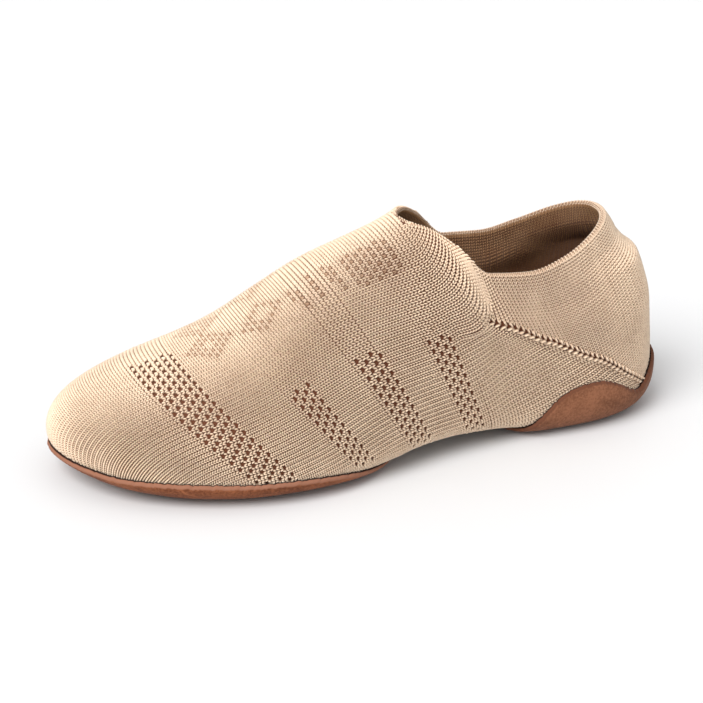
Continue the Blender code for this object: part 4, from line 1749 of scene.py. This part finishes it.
@dataclass
class KnittedUpper:
    """All the stitches of the upper, with its eyelets, cut into pieces by place.

    covers holds the flat curve and the centre of each suede patch, and cuts the stations where
    one piece ends and the next starts.
    """

    skin: Skin
    finish: KnitFinish
    # Finish of the stitches inside the wall: the yarn darkened as painted shade
    lining: KnitFinish
    covers: tuple[tuple[np.ndarray, np.ndarray], ...]
    cuts: tuple[float, ...] = (0.165, 0.118, 0.062)
    wall: float = 0.0021
    lining_courses: int = 30
    edge_courses: int = 5
    cover_inset: float = 0.0025
    seam_clear: float = 0.0012
    seam_pitch: float = 0.0025
    seam_width: float = 0.0036
    # Stitches by an eyelet move this share of a pitch, rise and lighten
    drawn: float = 0.05
    beside_rise: float = 0.00012
    beside_shade: float = 0.08
    # The figures of the instep: all their stitches darken, and every fourth one opens: it narrows,
    # and darkens as painted shade in its gap
    figure_shade: float = 0.12
    open_painted_shade: float = 0.38
    open_width: float = 0.66

    def build(self) -> None:
        """Lays the lattices of both sides, opens the eyelets and makes the pieces."""
        knit_field = KnitField(self.skin)
        parts = []
        seams = []
        linings = []
        for side in Side:
            x, p = knit_field.front(side)
            front = knit_field.stitches(side, x, p)
            parts.append(self.with_eyelets(front, knit_field, side))
            waist = knit_field.stitches(side, *knit_field.waist(side, x, p))
            pocket = knit_field.stitches(side, *knit_field.pocket(side))
            seam = knit_field.braid(side, self.seam_pitch, self.seam_width)
            parts.append(self.clear_of(waist.reversed(), seam))
            parts.append(self.clear_of(pocket, seam))
            collar = knit_field.rolled(side, self.wall, self.lining_courses)
            parts.append(collar.kept(collar.course < self.edge_courses))
            linings.append(collar.kept(collar.course >= self.edge_courses))
            seams.append(seam)
        every = parts[0]
        for part in parts[1:]:
            every = every.joined(part)
        self.make_pieces(every.kept(~self.covered(every.flat)))
        # The stitches inside the wall take the yarn darkened as painted shade
        lining = KnitStitches(self.lining)
        lining.build("knit_lining", linings[0].joined(linings[1]), self.skin.step)
        seam = seams[0].joined(seams[1])
        seam = seam.kept(~self.covered(seam.flat))
        chain = KnitStitches(
            self.finish, high=0.0013, low=0.0004, half_wide=0.15, reach_out=0.52, slant=0.26
        )
        chain.build("gore_seam", seam, self.skin.step)

    def make_pieces(self, every: Stitches) -> None:
        """Makes the outer stitches as four pieces, from the toe back.

        Args:
            every: all of them.
        """
        maker = KnitStitches(self.finish)
        edges = (1.0, *self.cuts, -1.0)
        for n, name in enumerate(("knit_toe", "knit_ball", "knit_instep", "knit_heel")):
            mine = (every.station <= edges[n]) & (every.station > edges[n + 1])
            maker.build(name, every.kept(mine), self.skin.step)

    def clear_of(self, knit: Stitches, seam: Stitches) -> Stitches:
        """Leaves out the stitches under the seam and a dark gap on both its sides.

        Args:
            knit: the stitches by the seam.
            seam: the seam's stitches.

        Returns:
            The stitches that lie farther than seam_clear from all of them.
        """
        gap = np.linalg.norm(knit.place[:, None] - seam.place[None], axis=2).min(1)
        return knit.kept(gap > self.seam_clear)

    def covered(self, flat: np.ndarray) -> np.ndarray:
        """Finds the flat places that lie under a suede patch, cover_inset inside its edge.

        Args:
            flat: the places, one row each.

        Returns:
            Whether each place is covered.
        """
        under = np.zeros(len(flat), bool)
        for curve, centre in self.covers:
            away = np.linalg.norm(flat - centre, axis=1)
            limit = reach(curve, np.broadcast_to(centre, flat.shape), unit(flat - centre))
            under |= away < limit - self.cover_inset
        return under

    def with_eyelets(self, knit: Stitches, knit_field: KnitField, side: Side) -> Stitches:
        """The front stitches without those at the eyelets, with their neighbours drawn apart.

        In a band every second stitch of every second course is left out, in staggered rows.

        Args:
            knit: the front stitches of one side.
            knit_field: the lattice that they come from.
            side: the side.

        Returns:
            The stitches left, with the figures of the instep shaded.
        """
        q = (knit.wale + 0.5) * knit_field.wale * 1000
        hole = np.zeros(len(q), bool)
        for band in BANDS:
            row = knit.course - knit_field.first_course(band)
            start = band.start if side is Side.OUTER else band.inner_start
            inside = (row >= 0) & (row < band.courses) & (q > start) & (q < band.end)
            hole |= inside & (row % 2 == 0) & ((knit.wale + row // 2) % 2 == 0)
        grid = np.zeros((knit.course.max() + 3, knit.wale.max() + 3), bool)
        grid[knit.course[hole] + 1, knit.wale[hole] + 1] = True
        above = grid[knit.course + 2, knit.wale + 1]
        below = grid[knit.course, knit.wale + 1]
        moved = (above.astype(float) - below) * self.drawn * knit.pitch
        beside = grid[knit.course + 1, knit.wale] | grid[knit.course + 1, knit.wale + 2]
        knit.place = knit.place + knit.along * moved[:, None]
        knit.place = knit.place + knit.normal * np.where(beside, self.beside_rise, 0.0)[:, None]
        figure = self.figure(knit.station * 1000, q)
        opened = figure & (knit.course % 2 == 0) & ((knit.wale + knit.course // 2) % 2 == 0)
        knit.shade = knit.shade + np.where(beside, self.beside_shade, 0.0)
        knit.shade = knit.shade - np.where(figure, self.figure_shade, 0.0)
        # Painted shade in the gap of each opened stitch
        knit.shade = knit.shade - np.where(opened, self.open_painted_shade, 0.0)
        knit.width = knit.width * np.where(opened, self.open_width, 1.0)
        return knit.kept(~hole)

    def figure(self, x: np.ndarray, q: np.ndarray) -> np.ndarray:
        """Which places on the instep lie in its open-work: two diamonds, three bars, a block.

        A diamond is 0.32 < |dx|/10.5 + |dq|/10 < 1, a bar is |dx| < 1.8 and the block |dx| < 9.5,
        with dx leaning by 0.3 q.

        Args:
            x: station in millimetres.
            q: distance from the ridge in millimetres.

        Returns:
            Whether each place lies in it.
        """
        inside = np.zeros(len(x), bool)
        for middle, over in DIAMONDS:
            away = np.abs(x - middle) / 10.5 + np.abs(q - over) / 10.0
            inside |= (away < 1.0) & (away > 0.32)
        for middle in BARS:
            inside |= (np.abs(x - middle + 0.30 * (q - 15.0)) < 1.8) & (q > 9) & (q < 24)
        middle, over = BLOCK
        slanted = np.abs(x - middle + 0.30 * (q - over)) < 9.5
        return inside | (slanted & (q > 9) & (q < 26))


@dataclass
class SuedePatch:
    """A suede patch wrapped over the knit from a flat pattern.

    Its two faces are offsets near and far from the surface. The cut edge is ragged by fuzz.
    """

    skin: Skin
    name: str
    node: str
    slot: Slot
    curve: np.ndarray
    centre: np.ndarray
    finish: SuedeFinish
    near: float = 0.0
    far: float = 0.0025
    around: int = 420
    rings: int = 34
    rim_steps: int = 6
    fuzz: float = 0.00012

    def build(self) -> bpy.types.Object:
        """The patch: rings from its centre to its edge, laid on the surface, with a cut edge.

        The edge is ragged by the sum of sin(k turn + k^2) over four high counts k.

        Returns:
            The piece.
        """
        curve = even_curve(self.curve, self.around)
        turn = np.arange(self.around) * 2 * np.pi / self.around
        ragged = sum(np.sin(turn * k + k * k) for k in (61, 97, 143, 188)) * self.fuzz
        way = unit(curve - self.centre)
        curve = curve + way * ragged[:, None]
        share = np.sin(np.linspace(0, np.pi / 2, self.rings)) ** 0.9
        flat = self.centre + share[None, :, None] * (curve[:, None] - self.centre)
        laid, _ = self.skin.lay(flat.reshape(-1, 2))
        points, tris, _ = weld(laid, grid_quads(self.around, self.rings, True)[:, ::-1])
        tris, normals = face_floor(points, tris, 0.003)
        near = np.full(len(points), self.near)
        far = np.full(len(points), self.far)
        every, faces, depth = thick_sheet(points, tris, normals, near, far, self.rim_steps)
        every = every + self.skin.step
        piece = mesh_piece(self.name, every, faces, self.finish.material(), {"depth": depth})
        return settle(piece, self.slot, self.node)


@dataclass
class Insole:
    """The thin sock lining that lies in the foot."""

    skin: Skin
    finish: KnitFinish
    share: float = 0.80
    wall: float = 0.0021
    gap: float = 0.0005
    thickness: float = 0.0015
    around: int = 240
    rings: int = 24
    rim_steps: int = 4
    shade: float = 0.5

    def build(self) -> bpy.types.Object:
        """The lining: rings at shares of the widest outline, set in under the wall."""
        form = self.skin.form
        centre = np.array([0.5 * form.length, form.spine(np.array(0.5 * form.length))])
        outline = even_curve(form.plan, self.around)
        station = np.clip(outline[:, 0], form.heel_x, form.toe_x)
        spine = np.c_[station, form.spine(station)]
        curve = spine + (outline - spine) * self.share
        share = np.linspace(0, 1, self.rings)
        flat = centre + share[None, :, None] * (curve[:, None] - centre)
        laid, _ = self.skin.lay(flat.reshape(-1, 2))
        points, tris, _ = weld(laid, grid_quads(self.around, self.rings, True)[:, ::-1])
        tris, normals = face_floor(points, tris, np.inf)
        low = np.full(len(points), -self.wall - self.gap - self.thickness)
        high = low + self.thickness
        every, faces, _ = thick_sheet(points, tris, normals, low, high, self.rim_steps)
        every = every + self.skin.step
        values = {"shade": np.full(len(every), self.shade)}
        piece = mesh_piece("insole_lining", every, faces, self.finish.material(), values)
        return settle(piece, Slot.LINING, "insole")


@dataclass
class Studio:
    """Pale floor, soft lights, and the camera at the photograph's angle."""

    azimuth: float = 159.59
    elevation: float = 23.54
    distance: float = 0.7944
    lens: float = 105.0
    roll: float = -0.42
    shift: tuple[float, float] = (-0.0204, 0.0)
    target: tuple[float, float, float] = (0.0, 0.0, 0.035)
    floor_half: float = 12.0
    floor_level: float = -0.0003
    floor_color: tuple[float, float, float] = (0.66, 0.66, 0.665)
    sky_strength: float = 0.80
    fill_place: tuple[float, float, float] = (0.9, 1.2, 0.9)
    fill_size: float = 1.2
    fill_power: float = 3.0
    sun_way: tuple[float, float, float] = (0.75, 0.48, 1.0)
    sun_power: float = 3.2
    sun_angle: float = 0.7

    def build(self) -> None:
        """Floor, lights, world and camera."""
        self.lay_floor()
        self.light_scene()
        self.place_camera()

    def lay_floor(self) -> None:
        """A pale square just under the soles."""
        half, low = self.floor_half, self.floor_level
        corners = [(-half, -half, low), (half, -half, low), (half, half, low), (-half, half, low)]
        paint = bpy.data.materials.new("studio_floor")
        paint.use_nodes = True
        shader = paint.node_tree.nodes["Principled BSDF"]
        fill(shader, Base_Color=(*self.floor_color, 1), Roughness=0.6)
        faces = np.array([(0, 1, 2), (0, 2, 3)])
        mesh_piece("floor", np.array(corners), faces, paint)

    def light_scene(self) -> None:
        """White surroundings, and a soft fill and a broad sun from the toe and the outer side."""
        world = bpy.data.worlds.new("studio")
        world.use_nodes = True
        sky = world.node_tree.nodes["Background"]
        fill(sky, Color=(1, 1, 1, 1), Strength=self.sky_strength)
        bpy.context.scene.world = world
        bpy.context.scene.view_settings.view_transform = "Standard"
        soft = bpy.data.lights.new("fill", "AREA")
        soft.size = self.fill_size
        soft.energy = self.fill_power
        place = Vector(self.fill_place)
        self.add_light(soft, place, place - Vector(self.target))
        sun = bpy.data.lights.new("sun", "SUN")
        sun.energy = self.sun_power
        sun.angle = self.sun_angle
        self.add_light(sun, Vector((0, 0, 0)), Vector(self.sun_way))

    def add_light(self, data: bpy.types.Light, place: Vector, back: Vector) -> None:
        """Puts a light in the scene.

        Args:
            data: the light.
            place: where it stands.
            back: the way from what it shines on to the light.
        """
        light = bpy.data.objects.new(data.name, data)
        bpy.context.scene.collection.objects.link(light)
        light.location = place
        light.rotation_euler = back.to_track_quat("Z", "Y").to_euler()

    def place_camera(self) -> None:
        """Camera at target + distance (sin a cos e, -cos a cos e, sin e), looking back at it."""
        az, el = np.radians([self.azimuth, self.elevation])
        way = Vector((np.sin(az) * np.cos(el), -np.cos(az) * np.cos(el), np.sin(el)))
        data = bpy.data.cameras.new("camera")
        data.lens = self.lens
        data.shift_x, data.shift_y = self.shift
        data.clip_start = 0.01
        camera = bpy.data.objects.new("camera", data)
        bpy.context.scene.collection.objects.link(camera)
        camera.location = Vector(self.target) + way * self.distance
        turn = (-way).to_track_quat("-Z", "Y").to_matrix().to_4x4()
        camera.rotation_euler = (turn @ Matrix.Rotation(np.radians(self.roll), 4, "Z")).to_euler()
        bpy.context.scene.camera = camera


# Finishes, with linear colours. The finish of the wall under the stitches is dark as painted shade
# between them, in the eyelets and inside the shoe; the finish of the stitches inside the wall is
# the yarn darkened as painted shade.
SHADED_SHELL_KNIT = KnitFinish("knit_base", yarn=(0.66, 0.47, 0.31), shade=(0.11, 0.040, 0.020))
OUTER_KNIT = KnitFinish("knit_yarn", yarn=(0.89, 0.71, 0.535), shade=(0.39, 0.215, 0.12))
SHADED_INNER_KNIT = KnitFinish("knit_inside", yarn=(0.55, 0.31, 0.15), shade=(0.12, 0.042, 0.012))
LINING_CLOTH = KnitFinish(
    "lining_cloth", yarn=(0.42, 0.27, 0.16), shade=(0.20, 0.115, 0.06), weave=250.0
)
FORE_SUEDE = SuedeFinish(
    "forefoot_suede",
    dark=(0.12, 0.034, 0.012),
    light=(0.27, 0.09, 0.036),
    cut_edge=(0.26, 0.115, 0.07),
    crevice_shadow=(0.02, 0.007, 0.004),
    scuffs=0.5,
)
HEEL_SUEDE = SuedeFinish(
    "heel_suede",
    dark=(0.135, 0.050, 0.023),
    light=(0.255, 0.104, 0.053),
    cut_edge=(0.12, 0.045, 0.024),
    crevice_shadow=(0.02, 0.007, 0.004),
    scuffs=0.1,
)
FORE_CENTRE = 0.735


def main() -> None:
    """Builds the shoe piece by piece, then the studio."""
    logging.basicConfig(level=logging.INFO, format="%(message)s")
    skin = Skin()
    form = skin.form
    fore_curve = form.two_sided(FORE_PATCH)
    fore_x = FORE_CENTRE * form.length
    fore_centre = np.array([fore_x, form.spine(np.array(fore_x))])
    heel_curve = form.heel_curve()
    heel_centre = np.array([form.heel_x, 0.0])
    KnitShell(skin, SHADED_SHELL_KNIT).build()
    SuedePatch(
        skin, "forefoot_sole", "forefoot_outsole", Slot.FORE, fore_curve, fore_centre, FORE_SUEDE
    ).build()
    SuedePatch(
        skin, "heel_cup", "heel_outsole", Slot.HEEL, heel_curve, heel_centre, HEEL_SUEDE
    ).build()
    covers = ((fore_curve, fore_centre), (heel_curve, heel_centre))
    KnittedUpper(skin, OUTER_KNIT, SHADED_INNER_KNIT, covers).build()
    Insole(skin, LINING_CLOTH).build()
    Studio().build()


if __name__ == "__main__":
    main()
